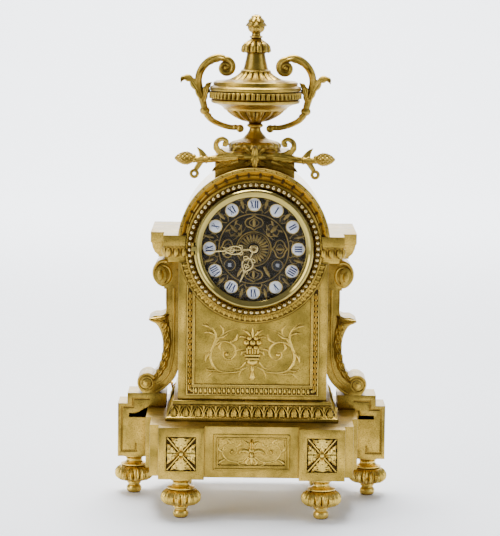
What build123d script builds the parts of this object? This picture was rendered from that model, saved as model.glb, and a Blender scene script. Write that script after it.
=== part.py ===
from build123d import *
from math import acos, atan2, cos, hypot, pi, sin, sqrt, tan
import os

# Gilt bronze mantel clock with an urn on top, as separate solids.
#
# Millimetres. +X is the clock's right as seen from the front, +Y runs to the back, +Z is up.
# The origin is the middle of the base's footprint, on the surface the feet stand on.

os.makedirs("parts", exist_ok=True)

# ---- Driving dimensions -------------------------------------------------------------------
BASE_Z0 = 34.5          # underside of the base, on top of the feet
BASE_Z1 = 77.5          # top of the base
BASE_Y = 82.5           # half depth over the corner pilasters
STEP1_X = 76.8          # half width over the pilasters
STEP2_X = 84.2
STEP3_X = 89.0
PILASTER_X0 = 39.0      # inner edge of a front pilaster
WING_X = 114.8
WING_STEP_X = 106.6
WING_Y0 = 15.0
WING_Y1 = 49.5
WING_Z0 = 80.6          # outer, lower step
WING_Z1 = 89.7          # inner, higher step
FOOT_X = 58.1
FOOT_Y = 66.5
SIDE_FOOT_X = 101.2
SIDE_FOOT_Y = 32.5

CASE_X = 62.1           # half width of the case
CASE_Y0 = -40.5         # front face
CASE_Y1 = 73.5          # rear face
CASE_Z0 = 94.0
ARCH_Z = 225.6          # centre height of the barrel roof
WALL = 4.0

DIAL_Z = 221.6          # centre height of dial, bezel and movement
DIAL_R = 47.5
SIGHT_R = 43.0          # visible opening of the bezel
BEAD_R = 53.0
HOUR_RING_R = 36.9      # circle of the enamel cartouches

SHOULDER_X = 86.5
SHOULDER_TOP = 231.9

PLATE_R = 44.0          # movement plates
PLATE_F = -22.5         # back face of the front plate
PLATE_B = 13.0          # front face of the back plate
PLATE_T = 2.5
ARBOR_R = 1.2
RUN = 0.05              # radial running clearance
BARREL_X = 19.8
BARREL_Z = DIAL_Z - 13.7
THIRD_X = 10.5
THIRD_Z = DIAL_Z + 18.187
ESCAPE_Z = DIAL_Z + 30.26
ANCHOR_Z = DIAL_Z + 41.0
MINUTE_WHEEL_Z = DIAL_Z - 12.0
PENDULUM_Y = 24.0
BOB_Z = 130.0
HAMMER = (-24.0, DIAL_Z + 14.4)
BELL = (16.0, DIAL_Z - 11.6)


# ---- Shape helpers ------------------------------------------------------------------------
def save(node, *solids):
    shape = solids[0] if len(solids) == 1 else Compound(children=list(solids))
    export_step(shape, "parts/" + node + ".step")


def block(x0, x1, y0, y1, z0, z1):
    return Pos((x0 + x1) / 2, (y0 + y1) / 2, (z0 + z1) / 2) * Box(x1 - x0, y1 - y0, z1 - z0)


def rod(x, z, r, y0, y1):
    """Cylinder along Y."""
    return Pos(x, (y0 + y1) / 2, z) * Rot(90, 0, 0) * Cylinder(r, y1 - y0)


def post(x, y, r, z0, z1):
    """Cylinder along Z."""
    return Pos(x, y, (z0 + z1) / 2) * Cylinder(r, z1 - z0)


def sheet(points, y0, y1):
    """Closed outline of (x, z) points, extruded from y0 to y1."""
    face = make_face(Polyline(*points, close=True))
    return Pos(0, y1, 0) * Rot(90, 0, 0) * extrude(face, y1 - y0)


def strip(points, x0, x1):
    """Closed outline of (y, z) points, extruded from x0 to x1."""
    face = make_face(Polyline(*points, close=True))
    return Pos(x0, 0, 0) * Rot(0, 0, 90) * Rot(90, 0, 0) * extrude(face, x1 - x0)


def turned(profile, x=0.0, y=0.0):
    """Closed outline of (radius, z) points, turned about a vertical axis."""
    face = Rot(90, 0, 0) * make_face(Polyline(*profile, close=True))
    return Pos(x, y, 0) * revolve(face, Axis.Z)


def turned_y(profile, x=0.0, z=DIAL_Z):
    """Closed outline of (radius, y) points, turned about an axis along Y."""
    return Pos(x, 0, z) * revolve(make_face(Polyline(*profile, close=True)), Axis.Y)


def ring_y(r0, r1, y0, y1, x=0.0, z=DIAL_Z):
    return turned_y([(r0, y0), (r1, y0), (r1, y1), (r0, y1)], x, z)


def smooth(points, steps=6):
    """Points along a curve that passes through every given point."""
    out = []
    last = len(points) - 1
    for i in range(last):
        a, b = points[max(i - 1, 0)], points[i]
        c, d = points[i + 1], points[min(i + 2, last)]
        for k in range(steps):
            t = k / steps
            out.append(tuple(
                0.5 * (2 * b[j] + (c[j] - a[j]) * t + (2 * a[j] - 5 * b[j] + 4 * c[j] - d[j]) * t ** 2
                       + (3 * b[j] - a[j] - 3 * c[j] + d[j]) * t ** 3)
                for j in (0, 1)))
    out.append(points[-1])
    return out


def ribbon(points, width0, width1, y0, y1, steps=6):
    """Bar of changing width along a smooth curve of (x, z) points."""
    line = smooth(points, steps)
    n = len(line) - 1
    left = []
    right = []
    for i, (x, z) in enumerate(line):
        ax, az = line[max(i - 1, 0)]
        bx, bz = line[min(i + 1, n)]
        length = hypot(bx - ax, bz - az)
        nx, nz = -(bz - az) / length, (bx - ax) / length
        half = (width0 + (width1 - width0) * i / n) / 2
        left.append((x + nx * half, z + nz * half))
        right.append((x - nx * half, z - nz * half))
    return sheet(left + right[::-1], y0, y1)


def mirrored(shape):
    return mirror(shape, Plane.YZ)


def pair(name, shape):
    """A part and its mirror image: the given one is on the +X side."""
    save(name + "_right", shape)
    save(name + "_left", mirrored(shape))


def gear(teeth, module, y0, y1, x, z, phase=0.0, thin=0.08):
    """Spur gear along Y with involute flanks; phase is the angle of the first tooth's middle."""
    rp = teeth * module / 2
    rb = rp * cos(pi / 9)
    ra = rp + 0.95 * module
    rf = rp - 1.2 * module
    half_pitch = pi / (2 * teeth) - thin / rp

    def half_angle(r):
        a = acos(min(1.0, rb / r))
        return half_pitch + (tan(pi / 9) - pi / 9) - (tan(a) - a)

    points = []
    for i in range(teeth):
        middle = phase + 2 * pi * i / teeth
        root = half_angle(max(rb, rf))
        for r, h in ((rf, -root), (rp, -half_angle(rp)), (ra, -half_angle(ra)),
                     (ra, half_angle(ra)), (rp, half_angle(rp)), (rf, root)):
            points.append((x + r * cos(middle + h), z + r * sin(middle + h)))
    return sheet(points, y0, y1)


def mesh_phase(phase, teeth_a, teeth_b, direction):
    """Phase that puts gear B in mesh with gear A, B lying in the given direction from A."""
    return direction + pi + pi / teeth_b - (phase - direction) * teeth_a / teeth_b


# ---- Feet: turned and chased, each held by a stud and nut ----------------------------------
FOOT = [(0, 0), (5.0, 0), (6.4, 2.0), (6.4, 5.0), (5.2, 6.9), (5.4, 9.0), (9.5, 11.0), (15.0, 12.6),
        (16.6, 16.0), (16.2, 19.5), (13.5, 23.0), (11.2, 24.2), (11.2, 25.6), (7.4, 26.8), (6.7, 29.0),
        (8.0, 31.6), (10.6, 33.0), (10.6, BASE_Z0), (2.0, BASE_Z0), (2.0, 45.0), (0, 45.0)]
FEET = {"foot_front_left": (-FOOT_X, -FOOT_Y), "foot_front_right": (FOOT_X, -FOOT_Y),
        "foot_side_left": (-SIDE_FOOT_X, SIDE_FOOT_Y), "foot_side_right": (SIDE_FOOT_X, SIDE_FOOT_Y),
        "foot_rear_left": (-FOOT_X, FOOT_Y), "foot_rear_right": (FOOT_X, FOOT_Y)}
for node, (x, y) in FEET.items():
    save(node, turned(FOOT, x, y))
stud_holes = [post(x, y, 2.3, BASE_Z0 - 1, 50) for x, y in FEET.values()]
nuts = []
for x, y in FEET.values():
    nut = extrude(RegularPolygon(4.2, 6), 3.5)
    nuts.append(Pos(x, y, BASE_Z0 + 3.0) * nut - post(x, y, 2.05, 30, 50))
save("foot_nuts", *nuts)

# ---- Base: open-bottomed shell with stepped corners -----------------------------------------
STEPS = [(STEP1_X, -BASE_Y, BASE_Y), (STEP2_X, -68.0, 68.0), (STEP3_X, -32.5, 58.0)]
base = None
hollow = None
for x, y0, y1 in STEPS:
    outer = block(-x, x, y0, y1, BASE_Z0, BASE_Z1)
    inner = block(-x + WALL, x - WALL, y0 + WALL, y1 - WALL, BASE_Z0, BASE_Z1 - WALL)
    base = outer if base is None else base + outer
    hollow = inner if hollow is None else hollow + inner
# Centre block stands back from the pilasters, so the front wall steps in.
base -= block(-PILASTER_X0, PILASTER_X0, -BASE_Y, -72.0, BASE_Z0, BASE_Z1)
hollow -= block(-PILASTER_X0 - WALL, PILASTER_X0 + WALL, -BASE_Y, -72.0 + WALL, BASE_Z0, BASE_Z1)
base -= hollow
for side in (-1, 1):
    base -= block(side * 57.9 - 12.3, side * 57.9 + 12.3, -BASE_Y, -BASE_Y + 2.5, 41.8, 70.0)
base -= block(-31.3, 31.3, -72.0, -70.5, 41.2, 70.9)
save("base_shell", base)

plate = hollow & block(-120, 120, -BASE_Y, BASE_Y, BASE_Z0, BASE_Z0 + 3.0)
for hole in stud_holes:
    plate -= hole
save("base_bottom_plate", plate)

plaque = block(-31.1, 31.1, -71.9, -70.5, 41.4, 70.7) - block(-28.8, 28.8, -71.9, -71.1, 44.0, 68.4)
save("base_centre_plaque", plaque)


def rosette(cx):
    disc = block(cx - 12.1, cx + 12.1, -BASE_Y + 1.0, -BASE_Y + 2.5, 42.0, 69.8)
    dome = turned_y([(0, -82.4), (4.0, -81.9), (11.0, -81.6), (11.0, -81.0), (0, -81.0)], cx, 55.9)
    return disc + dome


save("base_rosettes", rosette(-57.9), rosette(57.9))

# ---- Wings: stepped boxes beside the base, with a stepped slot through the front -------------
wing = block(STEP3_X, WING_STEP_X, WING_Y0, WING_Y1, BASE_Z0, WING_Z1)
wing += block(WING_STEP_X, WING_X, WING_Y0, WING_Y1, BASE_Z0, WING_Z0)
wing += block(73.5, STEP3_X, WING_Y0, WING_Y1, BASE_Z1, WING_Z1)
wing -= block(STEP3_X + 3, WING_X - 3, WING_Y0 + 3, WING_Y1 - 3, BASE_Z0 + 3, WING_Z0 - 3)
wing -= post(SIDE_FOOT_X, SIDE_FOOT_Y, 2.3, 30, 50)
wing -= block(91.8, 105.2, WING_Y0 - 1, WING_Y0 + 4, 68.8, 72.2)
wing -= block(89.4, 92.9, WING_Y0 - 1, WING_Y0 + 4, 68.8, 76.6)
key_path = [(111.2, 70.0), (111.2, 77.4), (101.6, 77.4), (101.6, 84.6), (88.4, 84.6)]
for (xa, za), (xb, zb) in zip(key_path, key_path[1:]):
    groove = block(min(xa, xb) - 0.9, max(xa, xb) + 0.9, WING_Y0 - 1, WING_Y0 + 1.2,
                   min(za, zb) - 0.9, max(za, zb) + 0.9)
    wing -= groove
for xa, xb, za, zb in ((110.3, 112.1, 38.6, 70.0), (98.0, 112.1, 38.6, 40.4), (98.0, 99.8, 38.6, 46.0)):
    wing -= block(xa, xb, WING_Y0 - 1, WING_Y0 + 1.2, za, zb)
pair("wing", wing)

# ---- Cavetto plinth between base and case ---------------------------------------------------
X_FLARE = [(72.2, 77.5), (72.2, 80.2), (69.6, 81.6), (66.4, 85.0), (65.0, 89.0), (65.0, 90.6), (66.2, 90.9),
           (66.2, 93.2), (65.4, 94.0)]


def flare_wrap(offset):
    """The same stepped profile on all four sides, as the overlap of two extrusions."""
    xs = [(x + offset, z) for x, z in X_FLARE]
    long_way = sheet([(-x, z) for x, z in xs[::-1]] + xs, -90, 110)
    front = [(CASE_Y0 + 62.1 - x - offset, z) for x, z in X_FLARE]
    back = [(CASE_Y1 - 62.1 + x + offset, z) for x, z in X_FLARE]
    cross_way = strip(front[::-1] + back, -90, 90)
    return long_way & cross_way


plinth = flare_wrap(0.0) - block(-56, 56, -34, 67, 70, 100)
save("plinth_moulding", plinth)

# ---- Case: four-sided body, barrel roof, front panel, rear panel ------------------------------
case = block(-CASE_X, CASE_X, CASE_Y0, CASE_Y1, CASE_Z0, ARCH_Z)
case -= block(-CASE_X + WALL, CASE_X - WALL, CASE_Y0 + WALL, CASE_Y1 + 1, CASE_Z0 - 1, ARCH_Z + 1)
case -= rod(0, DIAL_Z, 50.4, CASE_Y0 - 1, CASE_Y0 + WALL + 1)
case -= block(-55.1, 55.1, CASE_Y0 - 1, CASE_Y0 + 1.5, 98.0, 209.4)
save("case_body", case)

roof = ring_y(CASE_X - WALL, CASE_X, CASE_Y0, CASE_Y1, 0, ARCH_Z)
roof += rod(0, ARCH_Z, CASE_X, CASE_Y0, CASE_Y0 + WALL)
roof &= block(-90, 90, -90, 90, ARCH_Z, 300)
roof -= rod(0, DIAL_Z, 50.4, CASE_Y0 - 1, CASE_Y0 + WALL + 1)
save("barrel_roof", roof)

lower_ring = rod(0, DIAL_Z, 62.7, -60, 0)
frame = block(-55.0, 55.0, CASE_Y0 - 1.5, CASE_Y0 + 1.5, 98.1, 209.3)
frame -= block(-48.5, 48.5, -60, 0, 107.0, 220)
frame -= lower_ring
save("front_frame", frame)
panel = block(-48.4, 48.4, CASE_Y0 + 0.3, CASE_Y0 + 1.5, 107.1, 209.3) - lower_ring
save("front_panel", panel)

rear_hole = rod(0, DIAL_Z, 48.0, 60, 90)
rear = block(-CASE_X + WALL, CASE_X - WALL, CASE_Y1 - 3, CASE_Y1, CASE_Z0, ARCH_Z)
rear += rod(0, ARCH_Z, CASE_X - WALL, CASE_Y1 - 3, CASE_Y1) & block(-90, 90, 0, 90, ARCH_Z, 300)
rear -= rear_hole
save("rear_panel", rear)

door = rod(0, DIAL_Z, 50.0, CASE_Y1 + 0.4, CASE_Y1 + 1.8)
door += ring_y(44.5, 47.4, CASE_Y1 - 3.0, CASE_Y1 + 1.0)
for k in range(12):
    a = 2 * pi * k / 12
    door -= rod(30 * cos(a), DIAL_Z + 30 * sin(a), 3.0, 70, 80)
door += block(-52.6, -46.0, CASE_Y1 + 0.8, CASE_Y1 + 1.8, DIAL_Z - 3.8, DIAL_Z + 3.8)
door += post(-52.6, CASE_Y1 + 2.2, 1.6, DIAL_Z - 3.8, DIAL_Z + 3.8)
door -= post(-52.6, CASE_Y1 + 2.2, 0.8 + RUN, DIAL_Z - 5, DIAL_Z + 5)
door += rod(45.0, DIAL_Z, 3.0, CASE_Y1 + 1.8, CASE_Y1 + 5.5)
save("rear_door", door)
hinge = post(-52.6, CASE_Y1 + 2.2, 0.8, DIAL_Z - 9, DIAL_Z + 9)
for z in (DIAL_Z - 6.5, DIAL_Z + 6.5):
    hinge += post(-52.6, CASE_Y1 + 2.2, 1.6, z - 2.4, z + 2.4)
    hinge += block(-57.5, -52.6, CASE_Y1, CASE_Y1 + 1.2, z - 2.4, z + 2.4)
save("rear_hinge", hinge)

# ---- Shoulders: stepped capital blocks each side of the arch ----------------------------------
OVOLO = [(SHOULDER_X, 223.6), (85.6, 222.6), (84.9, 219.0), (83.2, 215.0), (80.2, 211.8), (80.2, 210.4)]
outer_x = sheet([(CASE_X, SHOULDER_TOP), (SHOULDER_X, SHOULDER_TOP)] + OVOLO + [(CASE_X, 210.4)], -16.5, CASE_Y1)
y_shift = -16.5 + SHOULDER_X
outer_y = strip([(CASE_Y1, SHOULDER_TOP), (-16.5, SHOULDER_TOP)] + [(y_shift - x, z) for x, z in OVOLO]
                + [(CASE_Y1, 210.4)], 50, 100)
outer_block = outer_x & outer_y
CAP = [(75.0, 232.2), (75.0, 223.6), (74.2, 222.9), (73.8, 219.0), (71.6, 214.4), (71.2, 213.2), (71.2, 211.6),
       (70.6, 209.6)]
cap_x = sheet([(50.0, 232.2)] + CAP + [(50.0, 209.6)], -44.5, -16.5)
cap_y = strip([(-16.5, 232.2)] + [(75.0 - x - 44.5, z) for x, z in CAP] + [(-16.5, 209.6)], 40, 80)
cap = (cap_x & cap_y) - block(40, CASE_X, CASE_Y0, 0, 200, 240) - rod(0, DIAL_Z, 57.0, -60, 0)
pair("shoulder", outer_block + cap)

# ---- Brackets: scrolled consoles standing on the wings, against the case sides -----------------
outer_edge = smooth([(74.4, 182.5), (74.4, 170.0), (74.4, 160.0), (78.5, 157.0), (84.0, 156.6), (88.9, 153.6),
                     (87.0, 151.8), (82.5, 149.6), (79.0, 144.0), (76.8, 136.0), (76.6, 127.0),
                     (78.4, 117.0), (81.5, 108.6), (84.6, 105.2)])
foot_edge = smooth([(84.6, 105.2), (88.0, 107.0), (93.0, 106.6), (97.4, 103.0), (98.3, 98.0), (96.6, 93.6),
                    (93.6, WING_Z1)])
inner_edge = smooth([(79.6, WING_Z1), (78.0, 92.0), (72.0, 97.0), (66.6, 103.6), (63.6, 112.0), (CASE_X, 122.0)])
console = sheet(outer_edge + foot_edge[1:] + inner_edge + [(CASE_X, 182.5)], WING_Y0, WING_Y1)
scroll = sheet([(76.1 + 9.2 * cos(a * pi / 18), 193.6 + 11.8 * sin(a * pi / 18)) for a in range(36)],
               WING_Y0, WING_Y1)
console += scroll & block(CASE_X, 90, 0, 60, 180, 210.4)
console += block(CASE_X, 76.0, WING_Y0, WING_Y1, 180, 210.4)
boss = [(79.0 + 5.0 * cos(a * pi / 12), 191.4 + 8.4 * sin(a * pi / 12)) for a in range(24)]
console += sheet(boss, WING_Y0 - 1.4, WING_Y0 + 1)
console += rod(90.0, 98.9, 3.6, WING_Y0 - 1.2, WING_Y0 + 1)
pair("bracket", console)

# ---- Arch moulding round the dial and the beaded ring -------------------------------------------
arch = turned_y([(57.0, -40.5), (57.0, -41.6), (58.4, -41.8), (61.0, -43.4), (61.6, -44.5), (63.2, -44.5),
                 (63.2, -40.5)], 0, ARCH_Z)
arch &= block(-90, 90, -60, 0, 232.3, 300)
arch -= rod(0, DIAL_Z, 57.0, -60, 0)
lower = turned_y([(57.0, -39.0), (57.0, -42.6), (58.4, -43.2), (60.0, -42.8), (60.4, -41.4), (61.3, -41.8),
                  (62.5, -41.8), (62.5, -39.0)])
lower &= block(-90, 90, -60, 0, 100, 209.4)
lower &= block(-54.9, 54.9, -60, 0, 100, 300)
save("arch_moulding", arch, lower)
surround = turned_y([(50.4, -40.5), (50.4, -44.2), (51.6, -44.6), (54.4, -44.6), (56.9, -43.2), (56.9, -40.5)])
surround += Pos(0, -45.0, DIAL_Z) * Rot(90, 0, 0) * Torus(BEAD_R, 1.9)
for z in (DIAL_Z - 3.6, DIAL_Z + 3.6):
    surround += block(-51.0, -50.0, -49.0, -44.0, z - 1.5, z + 1.5)
    surround += post(-50.6, -49.0, 1.1, z - 1.5, z + 1.5)
surround += post(-50.6, -49.0, 0.5, DIAL_Z - 5.1, DIAL_Z + 5.1)
save("bead_surround", surround)

# ---- Hinged bezel with its glass ----------------------------------------------------------------
bezel = turned_y([(43.0, -46.6), (43.6, -47.4), (45.4, -47.6), (47.0, -48.9), (48.4, -48.9), (49.6, -47.6),
                  (49.6, -43.2), (48.9, -43.2), (48.9, -45.2), (43.0, -45.2)])
bezel += post(-50.6, -49.0, 1.1, DIAL_Z - 1.8, DIAL_Z + 1.8)
bezel += block(-50.6, -47.5, -49.6, -48.6, DIAL_Z - 1.8, DIAL_Z + 1.8)
bezel -= post(-50.6, -49.0, 0.5 + RUN, DIAL_Z - 5, DIAL_Z + 5)
save("bezel_frame", bezel)
GLASS_R = 120.0
arc = []
for k in range(9):
    r = 42.9 * k / 8
    arc.append((r, -46.8 - (sqrt(GLASS_R ** 2 - r ** 2) - sqrt(GLASS_R ** 2 - 42.9 ** 2)) * 0.28))
glass = turned_y([(r, y) for r, y in arc] + [(42.9, -45.4)] + [(r, y + 1.2) for r, y in arc[-2::-1]])
save("bezel_glass", glass)

# ---- Dial: bronze plate with enamel hour cartouches, on feet ---------------------------------------
dial = rod(0, DIAL_Z, DIAL_R, -42.4, -41.2) - rod(0, DIAL_Z, 3.0, -50, -30)
for side in (-1, 1):
    dial -= rod(side * BARREL_X, BARREL_Z, 4.3, -50, -30)
dial += ring_y(5.6, 13.0, -42.8, -42.3)
dial += ring_y(28.6, 29.4, -42.7, -42.3)
for angle in (90, 210, 330):
    a = angle * pi / 180
    dial += rod(40 * cos(a), DIAL_Z + 40 * sin(a), 1.5, -41.3, PLATE_F - PLATE_T)
save("dial_plate", dial)
cartouches = []
for hour in range(12):
    a = 2 * pi * hour / 12
    disc = turned_y([(0, -43.2), (3.6, -43.1), (5.0, -42.8), (5.4, -42.4), (0, -42.4)],
                    HOUR_RING_R * sin(a), DIAL_Z + HOUR_RING_R * cos(a))
    cartouches.append(disc)
save("hour_cartouches", *cartouches)

# ---- Movement frame: two plates, pillars, back ring and straps ---------------------------------------
holes = [(0, DIAL_Z), (-BARREL_X, BARREL_Z), (BARREL_X, BARREL_Z), (THIRD_X, THIRD_Z), (0, ESCAPE_Z),
         (0, ANCHOR_Z), HAMMER]
PILLARS = [(40 * cos(a * pi / 180), DIAL_Z + 40 * sin(a * pi / 180)) for a in (15, 62, 120, 165, 270)]
front_plate = rod(0, DIAL_Z, PLATE_R, PLATE_F - PLATE_T, PLATE_F)
back_plate = rod(0, DIAL_Z, PLATE_R, PLATE_B, PLATE_B + PLATE_T)
for i, (x, z) in enumerate(holes):
    r = 2.5 if i in (1, 2) else ARBOR_R
    front_plate -= rod(x, z, r + RUN, -30, -20)
    back_plate -= rod(x, z, ARBOR_R + RUN, 10, 20)
front_plate += rod(0, MINUTE_WHEEL_Z, 1.0, -34.5, PLATE_F - PLATE_T)
save("movement_front_plate", front_plate)
back_plate += rod(*BELL, 2.0, PLATE_B + PLATE_T, 58.0)
save("movement_back_plate", back_plate)
save("movement_pillars", *[rod(x, z, 2.6, PLATE_F, PLATE_B) for x, z in PILLARS])
straps = []
for side in (-1, 1):
    bar = block(side * 51.2 - 1.0, side * 51.2 + 1.0, CASE_Y0 + WALL, CASE_Y1 - 3, DIAL_Z - 19, DIAL_Z - 11)
    lug = block(min(side * 43.0, side * 51.2), max(side * 43.0, side * 51.2), PLATE_F - PLATE_T - 1.6,
                PLATE_F - PLATE_T, DIAL_Z - 19, DIAL_Z - 11)
    straps.append(bar + lug)
save("movement_straps", *straps)
bell_cup = turned_y([(2.1, 54.0), (2.1, 55.4), (14.0, 54.6), (22.0, 51.0), (27.0, 44.0), (29.0, 34.0),
                     (27.6, 34.0), (25.8, 43.4), (21.2, 49.8), (13.6, 53.2)], *BELL)
bell_nut = ring_y(2.1, 4.0, 55.6, 57.8, *BELL)
save("bell", bell_cup, bell_nut)


# ---- Going train, meshed at rest ------------------------------------------------------------------
def arbor(x, z, y0=PLATE_F - PLATE_T, y1=PLATE_B + PLATE_T, r=1.8):
    """Steel shaft with thinner pivots running in the two plates."""
    return rod(x, z, r, PLATE_F + 0.2, PLATE_B - 0.2) + rod(x, z, ARBOR_R, y0, y1)


toward_barrel = atan2(BARREL_Z - DIAL_Z, BARREL_X)
centre_distance = hypot(BARREL_X, BARREL_Z - DIAL_Z)
GREAT_MODULE = 2 * centre_distance / 84
centre_phase = 0.0
cannon_phase = 0.0

centre = arbor(0, DIAL_Z, -46.0)
centre += gear(12, GREAT_MODULE, -19.5, -15.5, 0, DIAL_Z, centre_phase)
centre += gear(60, 0.6, 4.0, 5.5, 0, DIAL_Z, centre_phase)
centre += rod(0, DIAL_Z, 2.0, -33.5, -25.4) + rod(0, DIAL_Z, 1.5, -46.0, -33.0)
centre += gear(12, 0.5, -30.0, -26.6, 0, DIAL_Z, cannon_phase)
save("centre_wheel", centre)

barrel_phase = mesh_phase(centre_phase, 12, 72, toward_barrel)
barrel = arbor(BARREL_X, BARREL_Z, -26.0) + rod(BARREL_X, BARREL_Z, 2.5, -38.0, -22.4)
barrel += block(BARREL_X - 1.6, BARREL_X + 1.6, -41.0, -37.5, BARREL_Z - 1.6, BARREL_Z + 1.6)
barrel += gear(72, GREAT_MODULE, -18.5, -16.5, BARREL_X, BARREL_Z, barrel_phase)
barrel += rod(BARREL_X, BARREL_Z, 17.0, -16.6, 2.5)
save("going_barrel", barrel)
strike = arbor(-BARREL_X, BARREL_Z, -26.0) + rod(-BARREL_X, BARREL_Z, 2.5, -38.0, -22.4)
strike += block(-BARREL_X - 1.6, -BARREL_X + 1.6, -41.0, -37.5, BARREL_Z - 1.6, BARREL_Z + 1.6)
strike += rod(-BARREL_X, BARREL_Z, 17.0, -14.0, 2.5)
save("strike_barrel", strike)

toward_third = atan2(THIRD_Z - DIAL_Z, THIRD_X)
third_phase = mesh_phase(centre_phase, 60, 10, toward_third)
third = arbor(THIRD_X, THIRD_Z, r=1.4)
third += gear(10, 0.6, 3.4, 6.4, THIRD_X, THIRD_Z, third_phase)
third += gear(56, 0.5, 8.0, 9.2, THIRD_X, THIRD_Z, third_phase)
save("third_wheel", third)

toward_escape = atan2(ESCAPE_Z - THIRD_Z, -THIRD_X)
escape_phase = mesh_phase(third_phase, 56, 8, toward_escape)
escape = arbor(0, ESCAPE_Z, r=1.25)
escape += gear(8, 0.5, 7.4, 10.0, 0, ESCAPE_Z, escape_phase)
saw = []
for k in range(30):
    a = 2 * pi * k / 30
    saw += [(9.0 * cos(a), ESCAPE_Z + 9.0 * sin(a)), (7.6 * cos(a + 0.05), ESCAPE_Z + 7.6 * sin(a + 0.05)),
            (7.6 * cos(a + 0.14), ESCAPE_Z + 7.6 * sin(a + 0.14))]
escape += sheet(saw, 1.5, 2.6)
save("escape_wheel", escape)

# ---- Motion work and hands: one turn of the minute hand moves the hour hand by a twelfth ---------------
minute_phase = mesh_phase(cannon_phase, 12, 36, -pi / 2)
minute_wheel = gear(36, 0.5, -29.4, -27.4, 0, MINUTE_WHEEL_Z, minute_phase)
minute_wheel += gear(10, 0.48, -33.9, -29.3, 0, MINUTE_WHEEL_Z, minute_phase)
minute_wheel -= rod(0, MINUTE_WHEEL_Z, 1.0 + RUN, -40, -20)
save("minute_wheel", minute_wheel)
hour_phase = mesh_phase(minute_phase, 10, 40, pi / 2)
hour_wheel = gear(40, 0.48, -33.6, -31.6, 0, DIAL_Z, hour_phase) + rod(0, DIAL_Z, 2.5, -43.9, -33.0)
hour_wheel -= rod(0, DIAL_Z, 2.0 + 0.1, -33.6, -30)
hour_wheel -= rod(0, DIAL_Z, 1.5 + RUN, -50, -30)
hour_wheel -= rod(0, DIAL_Z, 2.0 + RUN, -33.7, -30)
save("hour_wheel", hour_wheel)


def hand(length, width, y0, y1, hub, bore, angle):
    """Pierced hand pointing at an angle measured clockwise from twelve."""
    shape = rod(0, 0, hub, y0, y1)
    shape += sheet([(-0.9, 0), (0.9, 0), (0.5, length * 0.9), (0, length), (-0.5, length * 0.9)], y0, y1)
    for t in (0.34, 0.56):
        shape += ring_y(width * 0.45, width, y0, y1, 0, length * t)
    shape -= rod(0, 0, bore, y0 - 1, y1 + 1)
    return Pos(0, 0, DIAL_Z) * Rot(0, angle, 0) * shape


save("hour_hand", hand(30.5, 3.6, -43.9, -43.3, 3.6, 2.5, 202.0))
minute_hand = hand(41.6, 2.6, -45.4, -44.8, 3.2, 1.5, 266.4)
save("minute_hand", minute_hand)
save("hand_nut", ring_y(1.5, 2.4, -46.4, -45.4))

# ---- Anchor, crutch and pendulum ------------------------------------------------------------------------
anchor = arbor(0, ANCHOR_Z, r=1.6, y1=PENDULUM_Y - 1)
anchor_arc = ring_y(10.0, 11.6, 1.5, 2.6, 0, ESCAPE_Z)
anchor += anchor_arc & block(-8.6, 8.6, 0, 5, ESCAPE_Z + 5.4, ANCHOR_Z + 5)
save("anchor", anchor)
rod_shape = block(-1.0, 1.0, PENDULUM_Y - 1, PENDULUM_Y + 1, BOB_Z, ANCHOR_Z + 3)
rod_shape += rod(0, ANCHOR_Z, 2.6, PENDULUM_Y - 1, PENDULUM_Y + 1)
bob = turned_y([(0, 19.6), (10.0, 20.4), (15.5, 23.0), (15.5, 25.0), (10.0, 27.6), (0, 28.4)], 0, BOB_Z)
bob -= block(-1.0, 1.0, PENDULUM_Y - 1, PENDULUM_Y + 1, BOB_Z, BOB_Z + 20)
save("pendulum_rod", rod_shape)
save("pendulum_bob", bob)

# ---- Strike hammer --------------------------------------------------------------------------------------
hx, hz = HAMMER
head = (BELL[0] - 29.0 - 0.9 - 3.0, BELL[1])
hammer = arbor(hx, hz, r=1.6, y1=40.0)
hammer += sheet([(hx - 1.6, hz), (hx + 1.6, hz + 1.6), (head[0] + 1.2, head[1]), (head[0] - 1.2, head[1])],
                37.5, 39.5)
hammer += rod(head[0], head[1], 3.0, 34.5, 41.5)
save("hammer", hammer)

# ---- Crest mount, urn and finial -------------------------------------------------------------------------
saddle = block(-29.2, 29.2, -29.2, 29.2, 296.5, 300.5) + block(-33.2, 33.2, -27.0, 27.0, 275.0, 296.5)
saddle -= rod(0, ARCH_Z, CASE_X, -60, 90)
save("urn_plinth", saddle)

crest = block(-6.0, 6.0, -33.0, -27.0, 288.5, 303.5)
crest += sheet([(-6.0, 303.5), (6.0, 303.5), (0, 306.5)], -32.5, -28.0)
for side in (-1, 1):
    arm = ribbon([(side * x, z) for x, z in ((4, 297.5), (20, 296.6), (36, 294.6), (48, 294.0), (54, 295.4))],
                 6.2, 5.4, -32.5, -28.5)
    curl = ribbon([(side * x, z) for x, z in ((14, 297), (24, 298.5), (31, 301.5), (32.6, 307.0), (28.6, 311.6),
                                              (23.4, 310.4))], 4.4, 3.2, -32.5, -28.5)
    curl += rod(side * 24.2, 308.0, 2.7, -33.0, -28.0)
    cone = sheet(smooth([(side * x, z) for x, z in ((51, 293.4), (57, 290.4), (62, 292.0), (66.5, 295.4),
                                                    (62, 299.0), (57, 300.2), (51, 297.8))]), -33.4, -27.6)
    spike = ribbon([(side * x, z) for x, z in ((42, 294.5), (45.0, 300.5), (47.2, 305.8))], 7.0, 1.2, -32.0, -29.0)
    drop = ribbon([(side * x, z) for x, z in ((44, 294), (47.0, 288.5), (48.6, 279.6))], 4.6, 5.6, -32.0, -29.0)
    drop -= rod(side * 48.4, 283.2, 1.3, -40, 0)
    crest += arm + curl + cone + spike + drop
crest -= block(-33.2, 33.2, -27.0, 27.0, 275.0, 296.5) + block(-29.2, 29.2, -29.2, 29.2, 296.5, 300.5)
save("crest_mount", crest)

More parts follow.
